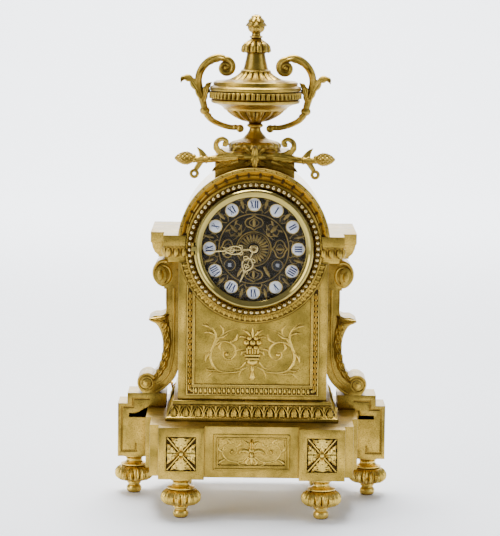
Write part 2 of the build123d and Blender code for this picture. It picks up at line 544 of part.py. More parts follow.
urn_foot = turned([(0, 300.5), (21.7, 300.5), (21.7, 303.0), (22.5, 303.6), (22.5, 306.0), (19.0, 308.6),
                   (12.0, 309.8), (9.0, 312.0), (6.0, 315.6), (4.6, 319.4), (6.7, 320.6), (6.7, 324.4), (0, 324.4)])
save("urn_foot", urn_foot)
urn_body = turned([(0, 324.4), (7.2, 324.4), (13.0, 326.6), (19.5, 330.0), (24.0, 334.4), (27.2, 334.8),
                   (27.6, 338.6), (35.6, 339.0), (37.5, 341.4), (37.5, 343.4), (38.9, 343.8), (38.9, 349.8), (0, 349.8)])
save("urn_body", urn_body)
urn_lid = turned([(0, 349.8), (36.6, 349.8), (38.3, 351.0), (38.3, 353.2), (36.8, 354.4), (35.6, 355.0),
                  (35.6, 358.0), (33.6, 358.8), (25.0, 359.6), (18.0, 362.4), (12.6, 366.6), (10.4, 368.4),
                  (9.4, 373.0), (7.8, 380.0), (7.6, 381.8), (0, 381.8)])
save("urn_lid", urn_lid)
finial = turned([(0, 381.8), (7.4, 381.8), (13.0, 384.0), (12.4, 388.0), (8.0, 391.6), (4.4, 394.2), (3.6, 396.2),
                 (3.8, 399.0), (6.0, 400.2), (8.4, 402.8), (8.8, 405.4), (7.6, 409.4), (4.6, 412.8), (1.4, 414.3), (0, 414.3)])
save("finial", finial)

# ---- Urn handles: scrolled bars with a leafed knot -------------------------------------------------------
volute = rod(25.2, 369.6, 7.6, -2.4, 2.4) + rod(25.2, 369.6, 2.8, -2.8, 2.8)
for y0, y1 in ((-2.6, -1.5), (1.5, 2.6)):
    volute -= ring_y(3.9, 5.5, y0, y1, 25.2, 369.6)
arm = ribbon([(21.4, 375.0), (26.4, 378.0), (33.0, 378.0), (40.4, 374.4), (46.2, 367.6), (48.4, 359.0),
              (46.4, 349.0), (43.6, 339.4), (42.3, 333.0)], 5.8, 6.6, -2.4, 2.4)
lower = ribbon([(42.2, 333.0), (38.0, 326.6), (30.0, 322.2), (21.0, 319.6), (13.0, 319.4)], 5.0, 4.2, -2.2, 2.2)
outer_leaf = ribbon([(46.5, 352.0), (51.0, 357.0), (56.0, 360.6), (61.6, 358.8)], 5.6, 2.0, -2.2, 2.2)
inner_leaf = ribbon([(44.6, 344.0), (41.6, 352.0), (37.4, 356.8)], 4.6, 2.0, -2.2, 2.2)
knot = rod(42.4, 333.4, 4.2, -3.0, 3.0)
tip = turned_y([(0, -2.8), (2.8, -2.0), (2.8, 2.0), (0, 2.8)], 12.6, 319.0)
handle = volute + arm + lower + outer_leaf + inner_leaf + knot + tip
handle -= turned([(0, 300), (6.9, 320.5), (6.9, 324.5), (7.4, 324.6), (13.1, 326.5), (19.6, 329.9), (24.1, 334.3),
                  (27.3, 334.7), (27.7, 338.5), (35.7, 338.9), (37.6, 341.3), (39.1, 343.7), (39.1, 350.9),
                  (38.4, 351.0), (38.4, 353.3), (35.7, 355.1), (35.7, 358.1), (18.1, 362.5), (10.5, 368.5),
                  (7.9, 380), (0, 381.8)])
pair("urn_handle", handle)
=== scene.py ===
"""The gilt bronze mantel clock's looks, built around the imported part, from the feet up to the finial."""
import bmesh
import bpy
from math import cos, hypot, pi, radians, sin
from mathutils import Matrix, Vector


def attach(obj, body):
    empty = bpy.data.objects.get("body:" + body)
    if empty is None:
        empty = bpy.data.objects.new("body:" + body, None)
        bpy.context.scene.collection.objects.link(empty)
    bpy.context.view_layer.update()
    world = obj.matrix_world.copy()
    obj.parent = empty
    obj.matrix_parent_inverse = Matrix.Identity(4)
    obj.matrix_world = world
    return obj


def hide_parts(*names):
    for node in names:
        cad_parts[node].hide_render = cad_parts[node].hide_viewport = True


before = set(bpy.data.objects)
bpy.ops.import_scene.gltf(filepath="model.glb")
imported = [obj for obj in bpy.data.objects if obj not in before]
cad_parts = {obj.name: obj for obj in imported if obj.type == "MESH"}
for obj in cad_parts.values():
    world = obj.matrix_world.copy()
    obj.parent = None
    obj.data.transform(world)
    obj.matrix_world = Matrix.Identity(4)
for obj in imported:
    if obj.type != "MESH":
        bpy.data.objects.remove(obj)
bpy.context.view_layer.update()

# ---- Camera ---------------------------------------------------------------------------------
# A long lens stands about two metres in front of the clock, a little above the dial.
# It looks slightly down and leans by well under a degree.
view_yaw = 0.003
view_pitch = -0.118
view_roll = 0.012
ahead = Vector((sin(view_yaw) * cos(view_pitch), cos(view_yaw) * cos(view_pitch), sin(view_pitch)))
level = Vector((cos(view_yaw), -sin(view_yaw), 0))
upward = level.cross(ahead)
across = level * cos(view_roll) + upward * sin(view_roll)
up = upward * cos(view_roll) - level * sin(view_roll)
lens = bpy.data.cameras.new("camera")
lens.sensor_fit = "VERTICAL"
lens.sensor_height = 36
lens.lens = 166.1
lens.clip_end = 50
camera = bpy.data.objects.new("camera", lens)
bpy.context.scene.collection.objects.link(camera)
turn = Matrix((across, up, -ahead)).transposed().to_4x4()
camera.matrix_world = Matrix.Translation((-0.0091, -2.0791, 0.4470)) @ turn
bpy.context.scene.camera = camera

# ---- Studio ---------------------------------------------------------------------------------
# A pale sweep of paper runs from the floor up a far wall, with a wash of light of its own.
# One broad soft light hangs overhead, a weaker one stands at each side, and the room in front is dim.
world = bpy.data.worlds.new("studio")
world.use_nodes = True
world.node_tree.nodes["Background"].inputs["Color"].default_value = (0.86, 0.90, 1, 1)
world.node_tree.nodes["Background"].inputs["Strength"].default_value = 0.36
bpy.context.scene.world = world


def soft_light(name, place, target, width, height, power, colour=(1, 1, 1)):
    data = bpy.data.lights.new(name, "AREA")
    data.shape = "RECTANGLE"
    data.size = width
    data.size_y = height
    data.energy = power
    data.color = colour
    lamp = bpy.data.objects.new(name, data)
    bpy.context.scene.collection.objects.link(lamp)
    lamp.visible_camera = False
    lamp.location = place
    lamp.rotation_euler = (Vector(target) - Vector(place)).to_track_quat("-Z", "Y").to_euler()


soft_light("overhead", (-0.1, 0.35, 1.65), (0, 0, 0.1), 1, 0.8, 72)
soft_light("left_side", (-1.5, -0.9, 0.75), (0, 0, 0.2), 0.8, 1.2, 17, (1, 0.97, 0.92))
soft_light("right_side", (1.6, -0.7, 0.7), (0, 0, 0.2), 0.6, 1.2, 9, (0.93, 0.96, 1))
soft_light("backdrop_wash", (0, 2.3, 1.9), (0, 3.2, 0.2), 3.2, 1.4, 210)


def plain_finish(name, colour, rough, metal=0):
    finish = bpy.data.materials.new(name)
    finish.use_nodes = True
    shader = finish.node_tree.nodes["Principled BSDF"]
    shader.inputs["Base Color"].default_value = (*colour, 1)
    shader.inputs["Roughness"].default_value = rough
    shader.inputs["Metallic"].default_value = metal
    return finish


PAPER_EDGE = 4
BEND_FROM = 2.8
BEND = 0.9
sweep_line = [(-PAPER_EDGE, 0)]
sweep_line += [(BEND_FROM + BEND * sin(a * pi / 24), BEND - BEND * cos(a * pi / 24)) for a in range(13)]
sweep_line += [(BEND_FROM + BEND, PAPER_EDGE)]
sweep_mesh = bpy.data.meshes.new("paper_sweep")
sweep_mesh.from_pydata([(x, y, z) for y, z in sweep_line for x in (-PAPER_EDGE, PAPER_EDGE)], [],
                       [(2 * i, 2 * i + 1, 2 * i + 3, 2 * i + 2) for i in range(len(sweep_line) - 1)])
sweep_mesh.shade_smooth()
sweep = bpy.data.objects.new("paper_sweep", sweep_mesh)
bpy.context.scene.collection.objects.link(sweep)
sweep_mesh.materials.append(plain_finish("studio_paper", (0.90, 0.925, 0.965), 0.75))


# ---- Gilding --------------------------------------------------------------------------------
# Cast brass, fire gilt: satin on the flats and burnished where it is raised.
# Painted brown shade darkens the hollows and the joins between parts, and small specks show where the gold has worn.
def field(tree, kind, operation=None, **given):
    """A node of the tree with its inputs set or linked, by name, or by number as i0, i1 and so on."""
    node = tree.nodes.new(kind)
    if operation:
        node.operation = operation
    for key, value in given.items():
        socket = node.inputs[int(key[1:]) if key in ("i0", "i1") else key]
        if isinstance(value, bpy.types.NodeSocket):
            tree.links.new(value, socket)
        else:
            socket.default_value = value
    return node.outputs[0]


def noise(tree, scale, detail, roughness=0.5):
    """Cloudy pattern that stays with the object."""
    place = tree.nodes.new("ShaderNodeTexCoord").outputs["Object"]
    return field(tree, "ShaderNodeTexNoise", Vector=place, Scale=scale, Detail=detail, Roughness=roughness)


def ramp(tree, value, *stops):
    """The value turned into a colour that runs from the first stop to the second."""
    node = tree.nodes.new("ShaderNodeValToRGB")
    for element, (at, colour) in zip(node.color_ramp.elements, stops):
        element.position = at
        element.color = (*colour, 1)
    tree.links.new(value, node.inputs["Fac"])
    return node.outputs["Color"]


def mix(tree, factor, *colours):
    """A mix of two colours, each a link or three numbers."""
    node = tree.nodes.new("ShaderNodeMix")
    node.data_type = "RGBA"
    tree.links.new(factor, node.inputs[0])
    for socket, colour in zip(node.inputs[6:8], colours):
        if isinstance(colour, tuple):
            socket.default_value = (*colour, 1)
        else:
            tree.links.new(colour, socket)
    return node.outputs[2]


BLACK = (0, 0, 0)
WHITE = (1, 1, 1)


def gilding(name, bright, olive, hollow, rough, grain=0.00012, patch=38, reach=0.0028, speck=0.5):
    """Metal that drifts between two tones, with specks, painted shade in the hollows, and a rough and faintly uneven
    face.
    """
    finish = plain_finish(name, bright, rough, 1)
    tree = finish.node_tree
    body = mix(tree, ramp(tree, noise(tree, patch, 4, 0.6), (0.36, BLACK), (0.64, WHITE)), olive, bright)
    specks = ramp(tree, noise(tree, 1500, 3, 0.75), (0.52, BLACK), (0.64, (speck, speck, speck)))
    body = mix(tree, specks, body, tuple(c * 0.42 for c in olive))
    # Painted shade: ambient occlusion within the reach turns the colour towards the hollow tone, in recesses and
    # where parts meet.
    shade = tree.nodes.new("ShaderNodeAmbientOcclusion")
    shade.samples = 6
    shade.inputs["Distance"].default_value = reach
    painted_crevice_shade = ramp(tree, shade.outputs["AO"], (0.34, WHITE), (0.86, BLACK))
    worn = field(tree, "ShaderNodeMapRange", Value=noise(tree, 260, 5, 0.6),
                 **{"From Min": 0.3, "From Max": 0.7, "To Min": rough - 0.07, "To Max": rough + 0.10})
    bump = field(tree, "ShaderNodeBump", Strength=0.6, Distance=grain, Height=noise(tree, 900, 4, 0.7))
    shader = tree.nodes["Principled BSDF"].inputs
    for socket, value in (("Base Color", mix(tree, painted_crevice_shade, body, hollow)), ("Roughness", worn), ("Normal", bump)):
        tree.links.new(value, shader[socket])
    return finish


gilt = gilding("gilt_bronze", (0.60, 0.392, 0.068), (0.28, 0.188, 0.030), (0.075, 0.026, 0.002), 0.33, 0.00022, 46,
               0.0034, 0.9)
gilt_bright = gilding("gilt_burnished", (0.82, 0.62, 0.20), (0.64, 0.47, 0.14), (0.18, 0.07, 0.010), 0.25,
                      reach=0.0013)
gilt_relief = gilding("gilt_relief", (0.80, 0.56, 0.12), (0.56, 0.385, 0.068), (0.10, 0.036, 0.003), 0.29,
                      reach=0.0013)
gilt_matt = gilding("gilt_matt", (0.54, 0.365, 0.062), (0.28, 0.192, 0.030), (0.09, 0.034, 0.003), 0.40, 0.00022, 70,
                    0.0030, 1)
# Near-black gilding: painted shade, set where holes, slots and deep grounds show only shade.
hollow_dark = gilding("hollow_dark", (0.110, 0.060, 0.014), (0.055, 0.032, 0.010), (0.015, 0.008, 0.003), 0.50)

# ---- Feet -----------------------------------------------------------------------------------
# Six turned and chased bronze feet: a ball, a waist, and a bowl of overlapping leaves.
# Each is held up to the base by a threaded stud and a nut.


def joined(name, shapes):
    """One mesh, in metres, from shapes: each is a list of points, in millimetres, and a list of faces."""
    points = []
    faces = []
    for verts, polygons in shapes:
        first = len(points)
        points += [(x / 1000, y / 1000, z / 1000) for x, y, z in verts]
        faces += [tuple(first + i for i in polygon) for polygon in polygons]
    mesh = bpy.data.meshes.new(name)
    mesh.from_pydata(points, [], faces)
    return mesh


def added(name, mesh):
    thing = bpy.data.objects.new(name, mesh)
    bpy.context.scene.collection.objects.link(thing)
    return thing


def fitted(name, mesh, finish, body, instead_of, sharp):
    """A finished mesh as a piece that rides one body of the clock."""
    mesh.shade_smooth()
    mesh.set_sharp_from_angle(angle=radians(sharp))
    mesh.materials.append(finish)
    piece = added(name, mesh)
    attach(piece, body)
    if instead_of:
        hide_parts(*instead_of)


def build(name, shapes, finish, body="case", instead_of=()):
    """One piece from shapes, its faces all turned outwards."""
    mesh = joined(name, shapes)
    work = bmesh.new()
    work.from_mesh(mesh)
    bmesh.ops.remove_doubles(work, verts=work.verts, dist=1e-7)
    bmesh.ops.recalc_face_normals(work, faces=work.faces)
    work.to_mesh(mesh)
    work.free()
    fitted(name, mesh, finish, body, instead_of, 38)


def skin(rows, across, closed=False):
    """Faces over rows of as many points each: a capped tube, or a closed ring."""
    faces = [(i * across + k, i * across + (k + 1) % across,
              (i + 1) % rows * across + (k + 1) % across, (i + 1) % rows * across + k)
             for i in range(rows if closed else rows - 1) for k in range(across)]
    if not closed:
        faces += [tuple(range(across)), tuple(range((rows - 1) * across, rows * across))]
    return faces


def turned(profile, x=0, y=0, n=96, shape=None):
    """Closed turning about a vertical axis from (radius, height) points; shape may flute it."""
    verts = []
    for r, z in profile:
        for k in range(n):
            a = 2 * pi * k / n
            rr, zz = shape(r, z, a) if shape else (r, z)
            verts.append((x + rr * cos(a), y + rr * sin(a), zz))
    return verts, skin(len(profile), n)


def smooth(points, steps=6):
    """Points along a curve through every given point, whatever their number of coordinates."""
    out = []
    last = len(points) - 1
    for i in range(last):
        a, b = points[max(i - 1, 0)], points[i]
        c, d = points[i + 1], points[min(i + 2, last)]
        for k in range(steps):
            t = k / steps
            out.append(tuple(
                0.5 * (2 * q + (r - p) * t + (2 * p - 5 * q + 4 * r - s) * t * t + (3 * q - p - 3 * r + s) * t ** 3)
                for p, q, r, s in zip(a, b, c, d)))
    out.append(tuple(points[-1]))
    return out


def leafy_foot(r, z, a):
    if 9.5 < z < 24 and r > 8:
        lobe = abs(sin(8 * a))
        depth = 0.17 * min(1, (24 - z) / 7)
        rib = 0.03 * cos(48 * a) * lobe
        r = r * (1 - depth * (1 - lobe ** 0.6) + rib)
        z = z - 1.1 * (lobe - 0.4) * min(1, max(0, (17 - z) / 5))
    return r, z


FOOT_LINE = [(0.6, 0), (4.6, 0), (6, 1.2), (6.6, 3.2), (6.2, 5.4), (5, 6.8), (5, 7.6), (5.9, 8.2), (6, 9.2),
             (5.6, 10.2), (7, 11.2), (10.5, 11.6), (13.6, 12.4), (15.9, 14.4), (16.6, 16.8), (16.3, 19.2),
             (14.6, 21.6), (12.2, 23.4), (10.6, 24), (10.8, 24.4), (11.5, 24.8), (11.5, 25.6), (10.6, 26),
             (8, 26.6), (6.8, 28), (6.7, 29.4), (7.4, 31), (9.2, 32), (10.4, 32.4), (10.6, 33), (10.6, 34.5),
             (0.6, 34.5)]
foot_places = {"foot_front_left": (-58.1, -66.5), "foot_front_right": (58.1, -66.5),
               "foot_side_left": (-101.2, 32.5), "foot_side_right": (101.2, 32.5),
               "foot_rear_left": (-58.1, 66.5), "foot_rear_right": (58.1, 66.5)}
foot_line = [p for a, b in zip(FOOT_LINE, FOOT_LINE[1:]) for p in (a, ((a[0] + b[0]) / 2, (a[1] + b[1]) / 2))]
foot_line.append(FOOT_LINE[-1])
for node, (x, y) in foot_places.items():
    build(node + "_cast", [turned(foot_line, x, y, 192, leafy_foot)], gilt_relief, instead_of=[node])

# ---- Base and wings -------------------------------------------------------------------------
# Sand-cast gilt boxes, filed flat, with every arris worn a little round.
# The wings are screwed to the base from inside and carry a stepped slot cut through the front.


def eased(node, width=0.35, finish=gilt, body="case"):
    """The node's own shape with its sharp edges worn round."""
    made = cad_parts[node].data.copy()
    work = bmesh.new()
    work.from_mesh(made)
    bmesh.ops.remove_doubles(work, verts=work.verts, dist=2e-6)
    bmesh.ops.dissolve_limit(work, angle_limit=radians(1), verts=work.verts, edges=work.edges)
    sharp = [e for e in work.edges if len(e.link_faces) == 2 and e.calc_face_angle(0) > radians(28)]
    bmesh.ops.bevel(work, geom=sharp, offset=width / 1000, offset_type="OFFSET", segments=2, profile=0.5,
                    affect="EDGES", clamp_overlap=True)
    bmesh.ops.triangulate(work, faces=[f for f in work.faces if len(f.verts) > 4])
    work.to_mesh(made)
    work.free()
    made.name = node + "_eased"
    made.materials.clear()
    fitted(made.name, made, finish, body, [node], 24)


for node in ("base_shell", "wing_left", "wing_right", "plinth_moulding", "case_body", "urn_plinth",
             "shoulder_left", "shoulder_right", "bracket_left", "bracket_right", "base_centre_plaque"):
    eased(node)
eased("front_panel", 0.2, gilt_matt)

# ---- Base ornament --------------------------------------------------------------------------
# Chased gilt relief on the front of the base: a scrolled spray in the middle frame,
# and a pierced leaf rosette let into each corner block and pinned from behind.


def swept_path(line, widths, steps):
    """Points of a smooth line with the width and the sideways direction at each."""
    path = smooth([(x, z, w) for (x, z), w in zip(line, widths)], steps)
    out = []
    for i, (x, z, w) in enumerate(path):
        ax, az, _ = path[max(i - 1, 0)]
        bx, bz, _ = path[min(i + 1, len(path) - 1)]
        size = hypot(bx - ax, bz - az) or 1
        out.append((x, z, w, -(bz - az) / size, (bx - ax) / size))
    return out


def tube(line, widths, y, flat=1, sides=8, steps=5):
    """Round or flattened stroke along (x, z) points, thickening as the widths say."""
    many = len(line) - 1
    if len(widths) == 2:
        widths = [widths[0] + (widths[1] - widths[0]) * i / many for i in range(many + 1)]
    path = swept_path(line, widths, steps)
    verts = []
    for x, z, w, nx, nz in path:
        r = max(w, 0.12) / 2
        for k in range(sides):
            a = 2 * pi * (k + 0.5) / sides
            verts.append((x + nx * r * cos(a), y - r * flat * sin(a), z + nz * r * cos(a)))
    return verts, skin(len(path), sides)


def leaf(line, widths, y, height, lobes=3, notch=0.3, steps=7):
    """Chased leaf: a hollowed blade with a raised rib and a lobed edge, on a flat back."""
    path = swept_path(line, widths, steps)
    across_leaf = (-1, -0.8, -0.5, -0.2, 0, 0.2, 0.5, 0.8, 1)
    ribbed = (0, 0.62, 0.92, 0.72, 1, 0.72, 0.92, 0.62, 0)
    plain = (0, 0.55, 0.80, 0.93, 1, 0.93, 0.80, 0.55, 0)
    lift = ribbed if max(widths) > 4 else plain
    verts = []
    for i, (x, z, w, nx, nz) in enumerate(path):
        cut = 1 - notch * (1 - abs(sin(pi * lobes * i / (len(path) - 1) + 0.35)))
        half = max(w, 0.2) / 2
        for s, h in zip(across_leaf, lift):
            r = half * s * (cut if abs(s) > 0.3 else 1)
            verts.append((x + nx * r, y - height * h * min(1, half / 1.2), z + nz * r))
        for s in (0.85, -0.85):
            verts.append((x + nx * half * s * cut, y + 0.4, z + nz * half * s * cut))
    return verts, skin(len(path), len(across_leaf) + 2)


def ball(x, y, z, rx, ry=None, rz=None, n=12, m=8):
    """Egg, bead or berry."""
    ry = rx if ry is None else ry
    rz = rx if rz is None else rz
    verts = [(x, y, z + rz)]
    for i in range(1, m):
        a = pi * i / m
        for k in range(n):
            b = 2 * pi * k / n
            verts.append((x + rx * sin(a) * cos(b), y + ry * sin(a) * sin(b), z + rz * cos(a)))
    verts.append((x, y, z - rz))
    faces = [(0, 1 + k, 1 + (k + 1) % n) for k in range(n)]
    for i in range(m - 2):
        for k in range(n):
            faces.append((1 + i * n + k, 1 + (i + 1) * n + k, 1 + (i + 1) * n + (k + 1) % n, 1 + i * n + (k + 1) % n))
    last = len(verts) - 1
    faces += [(last, last - n + (k + 1) % n, last - n + k) for k in range(n)]
    return verts, faces


def slab(x0, x1, y0, y1, z0, z1, ease=0.3):
    """Block whose front edges are filed off."""
    verts = []
    for y, e in ((y0, ease), (y0 + ease, 0), (y1, 0)):
        verts += [(x0 + e, y, z0 + e), (x1 - e, y, z0 + e), (x1 - e, y, z1 - e), (x0 + e, y, z1 - e)]
    faces = [(0, 1, 2, 3), (8, 9, 10, 11)]
    for level_at in (0, 4):
        for k in range(4):
            faces.append((level_at + k, level_at + (k + 1) % 4, level_at + 4 + (k + 1) % 4, level_at + 4 + k))
    return verts, faces


def other_side(shapes):
    """The same shapes mirrored left to right."""
    return [([(-x, y, z) for x, y, z in verts], [tuple(reversed(f)) for f in faces]) for verts, faces in shapes]


def both(shapes):
    return shapes + other_side(shapes)


def turned_about(shapes, angle, cx, cz):
    """The same shapes turned clockwise, seen from the front, about (cx, cz)."""
    c, s = cos(radians(angle)), sin(radians(angle))
    return [([(cx + (x - cx) * c + (z - cz) * s, y, cz - (x - cx) * s + (z - cz) * c) for x, y, z in verts], faces)
            for verts, faces in shapes]


PLAQUE = -71
spray = [
    tube([(-3, 52), (-7, 48.8), (-13, 47.6), (-20, 49.4), (-24, 54.6), (-22.4, 60.6), (-16.6, 63), (-12, 59.6),
          (-12.6, 54.8), (-16.8, 53.4), (-18.6, 56.6), (-15.8, 58.2)], (1.5, 0.9), PLAQUE, 0.9),
    ball(-16.2, PLAQUE - 0.4, 56.6, 1.4),
    leaf([(-22, 50), (-26, 47.6), (-27.4, 44.9)], (2.4, 3, 0.4), PLAQUE, 1),
    leaf([(-23.5, 56), (-27.2, 58.5), (-26.4, 62.6)], (2, 3, 0.4), PLAQUE, 1),
    leaf([(-12, 47.6), (-9, 45.2), (-4.6, 45.4)], (2, 2.6, 0.4), PLAQUE, 1),
    leaf([(-17, 63), (-20, 66.4), (-25, 66.2)], (1.8, 2.6, 0.4), PLAQUE, 1),
    leaf([(-12.6, 60), (-9.4, 62.4), (-8.6, 66)], (1.6, 2.6, 0.4), PLAQUE, 1),
    leaf([(-1.6, 56), (-5.6, 57.4), (-9.2, 56.2), (-11, 53.4)], (3.2, 4, 3, 0.4), PLAQUE, 1.3),
    leaf([(-0.8, 60), (-3.4, 63.4), (-6.6, 65.6)], (1.8, 2.6, 0.4), PLAQUE, 1.2),
    leaf([(-1.4, 51.6), (-4.4, 47.2), (-2.4, 44.8)], (2.6, 2.8, 0.4), PLAQUE, 1.1),
]
crown = both(spray) + [
    leaf([(0, 58.5), (0, 63), (0, 67.6)], (3.6, 4.6, 0.5), PLAQUE, 1.5),
    ball(0, PLAQUE - 0.4, 57.4, 2.5, 1.6, 1.9), ball(0, PLAQUE - 0.4, 53.6, 1.9, 1.5, 2.4),
    leaf([(0, 51.6), (0, 48), (0, 44.6)], (3.4, 3, 0.5), PLAQUE, 1.2),
]
build("centre_spray", crown, gilt_relief)

frame_bars = []
for inset, wide in ((0.5, 1.9), (3.2, 1.3)):
    x, low, high = 31.4 - inset, 41.2 + inset, 70.9 - inset
    for line in ([(-x, low), (x, low)], [(-x, high), (x, high)], [(-x, low), (-x, high)], [(x, low), (x, high)]):
        frame_bars.append(tube(line, (wide, wide), -71.9, 0.7, 8, 1))
build("centre_frame_beads", frame_bars, gilt)


ROSETTE_X = 57.9
ROSETTE_Z = 55.9


def rosette(cx):
    """Square leaf rosette: four leaves between crossed stems, a ball where they cross."""
    cz = ROSETTE_Z
    front = -81.2
    parts = []
    for dx, dz in ((0, 1), (1, 0), (0, -1), (-1, 0)):
        reach = 13.4 if dz else 11.6
        line = [(cx + dx * t * reach, cz + dz * t * reach) for t in (0.14, 0.4, 0.68, 0.88, 1)]
        parts.append(leaf(line, (2, 8.6, 14.6, 15.6, 8.6), front + 0.2, 2, 4, 0.38, 6))
        for side in (-1, 1):
            line = [(cx + dx * reach * a + side * dz * b, cz + dz * reach * a - side * dx * b)
                    for a, b in ((0.5, 1.6), (0.78, 4.6), (1, 8.6))]
            parts.append(leaf(line, (2.4, 4.2, 1), front - 0.5, 0.9, 3, 0.3))
    for sx, sz in ((1, 1), (1, -1), (-1, 1), (-1, -1)):
        parts.append(tube([(cx + sx * 1.5, cz + sz * 1.8), (cx + sx * 11.6, cz + sz * 13.4)], (1.3, 1), front - 0.9,
                          1, 8, 1))
    parts.append(ball(cx, front - 0.2, cz, 2.6, 1.1, 2.6))
    return parts


build("rosettes_chased", rosette(-ROSETTE_X) + rosette(ROSETTE_X), gilt_relief, instead_of=["base_rosettes"])
# Painted shade: a dark slab behind each rosette and dark dots over its piercings.
rosette_shade_parts = [slab(cx - 12.3, cx + 12.3, -80.9, -79.9, 41.8, 70, 0.1) for cx in (-ROSETTE_X, ROSETTE_X)]
for cx in (-ROSETTE_X, ROSETTE_X):
    for dx, dz in ((0, 7.4), (7, 0), (0, -7.4), (-7, 0), (3.4, 11.4), (-3.4, 11.4), (3.4, -11.4), (-3.4, -11.4),
                   (9.8, 4), (9.8, -4), (-9.8, 4), (-9.8, -4)):
        rosette_shade_parts.append(ball(cx + dx, -82.3, ROSETTE_Z + dz, 0.85, 0.75, 0.85, 10, 6))
build("rosette_grounds", rosette_shade_parts, hollow_dark)

# ---- Plinth moulding leaves -----------------------------------------------------------------
# A water-leaf border, cast in one with the hollow moulding under the case and chased up.
# It runs round all four sides.


def repeat_tree(name, ring):
    """Geometry nodes that set one casting out along a straight row, or round a ring facing outwards."""
    tree = bpy.data.node_groups.new(name, "GeometryNodeTree")
    tree.interface.new_socket("Geometry", in_out="OUTPUT", socket_type="NodeSocketGeometry")
    inputs = {"Casting": "Object", "Count": "Int", "Start": "Vector", "Step": "Vector", "Turn": "Vector",
              "Radius": "Float", "First Angle": "Float", "Angle Step": "Float", "Finish": "Material"}
    for label, kind in inputs.items():
        tree.interface.new_socket(label, in_out="INPUT", socket_type="NodeSocket" + kind)
    given = tree.nodes.new("NodeGroupInput").outputs
    index = tree.nodes.new("GeometryNodeInputIndex").outputs[0]

    def maths(operation, *values):
        return field(tree, "ShaderNodeMath", operation, **{f"i{k}": value for k, value in enumerate(values)})

    if ring:
        angle = maths("ADD", maths("MULTIPLY", index, given["Angle Step"]), given["First Angle"])
        x = maths("MULTIPLY", maths("COSINE", angle), given["Radius"])
        z = maths("MULTIPLY", maths("SINE", angle), given["Radius"])
        offset = field(tree, "ShaderNodeCombineXYZ", X=x, Z=z)
        turn_by = field(tree, "ShaderNodeCombineXYZ", Y=maths("SUBTRACT", pi / 2, angle))
    else:
        offset = field(tree, "ShaderNodeVectorMath", "SCALE", i0=given["Step"], Scale=index)
        turn_by = given["Turn"]
    place = field(tree, "ShaderNodeVectorMath", "ADD", i0=offset, i1=given["Start"])
    dots = field(tree, "GeometryNodePoints", Count=given["Count"], Position=place)
    casting = tree.nodes.new("GeometryNodeObjectInfo")
    tree.links.new(given["Casting"], casting.inputs["Object"])
    set_out = field(tree, "GeometryNodeInstanceOnPoints", Points=dots, Instance=casting.outputs["Geometry"],
                    Rotation=turn_by)
    real = field(tree, "GeometryNodeRealizeInstances", Geometry=set_out)
    gilded = field(tree, "GeometryNodeSetMaterial", Geometry=real, Material=given["Finish"])
    tree.links.new(gilded, tree.nodes.new("NodeGroupOutput").inputs[0])
    return tree


row_of_castings = repeat_tree("row_of_castings", False)
ring_of_castings = repeat_tree("ring_of_castings", True)


def repeated(unit, tree, **given):
    """One shape, in millimetres, with the unit set out by the tree."""
    casting = added("pattern", joined("pattern", unit))
    holder = added("row", bpy.data.meshes.new("row"))
    work = holder.modifiers.new("row", "NODES")
    work.node_group = tree
    given.update(Casting=casting, Finish=gilt)
    for socket in tree.interface.items_tree:
        if socket.in_out == "INPUT" and socket.name in given:
            work[socket.identifier] = given[socket.name]
    flat = bpy.data.meshes.new_from_object(holder.evaluated_get(bpy.context.evaluated_depsgraph_get()))
    shape = ([tuple(c * 1000 for c in v.co) for v in flat.vertices], [tuple(p.vertices) for p in flat.polygons])
    holder.modifiers.clear()
    for thing in (casting, holder):
        bpy.data.objects.remove(thing)
    return shape


def row(unit, count, start, step, turn=(0, 0, 0)):
    return repeated(unit, row_of_castings, Count=count, Start=[c / 1000 for c in start],
                    Step=[c / 1000 for c in step], Turn=[radians(c) for c in turn])


def ring(unit, count, radius, centre, first=0, step=None):
    """Unit's z points outwards; centre is (x, y, z)."""
    step = 360 / count if step is None else step
    return repeated(unit, ring_of_castings, Count=count, Radius=radius / 1000, **{
        "Start": [c / 1000 for c in centre], "First Angle": radians(first), "Angle Step": radians(step)})


water_leaf = [
    leaf([(0, 0), (0, 3), (0, 6.4), (0, 9.2)], (5, 6.4, 4, 0.5), 0, 1.5, 3, 0.22),
    tube([(-4.9, 0), (-4.2, 4.4), (-2, 8), (0, 9.8)], (1.1, 0.8), -0.5, 1, 6),
    tube([(4.9, 0), (4.2, 4.4), (2, 8), (0, 9.8)], (1.1, 0.8), -0.5, 1, 6),
    leaf([(5, 9.6), (5, 7), (5, 3.4)], (2.6, 2.2, 0.3), 0, 1.2, 2, 0.15),
]
borders = [
    row(water_leaf, 14, (-65.3, -48.2, 80.9), (10.05, 0, 0), (-28, 0, 0)),
    row(water_leaf, 14, (65.3, 81.2, 80.9), (-10.05, 0, 0), (-28, 0, 180)),
    row(water_leaf, 12, (69.8, -40, 80.9), (0, 10.3, 0), (-28, 0, 90)),
    row(water_leaf, 12, (-69.8, 73.3, 80.9), (0, -10.3, 0), (-28, 0, 270)),
]
build("plinth_leaf_border", borders, gilt)

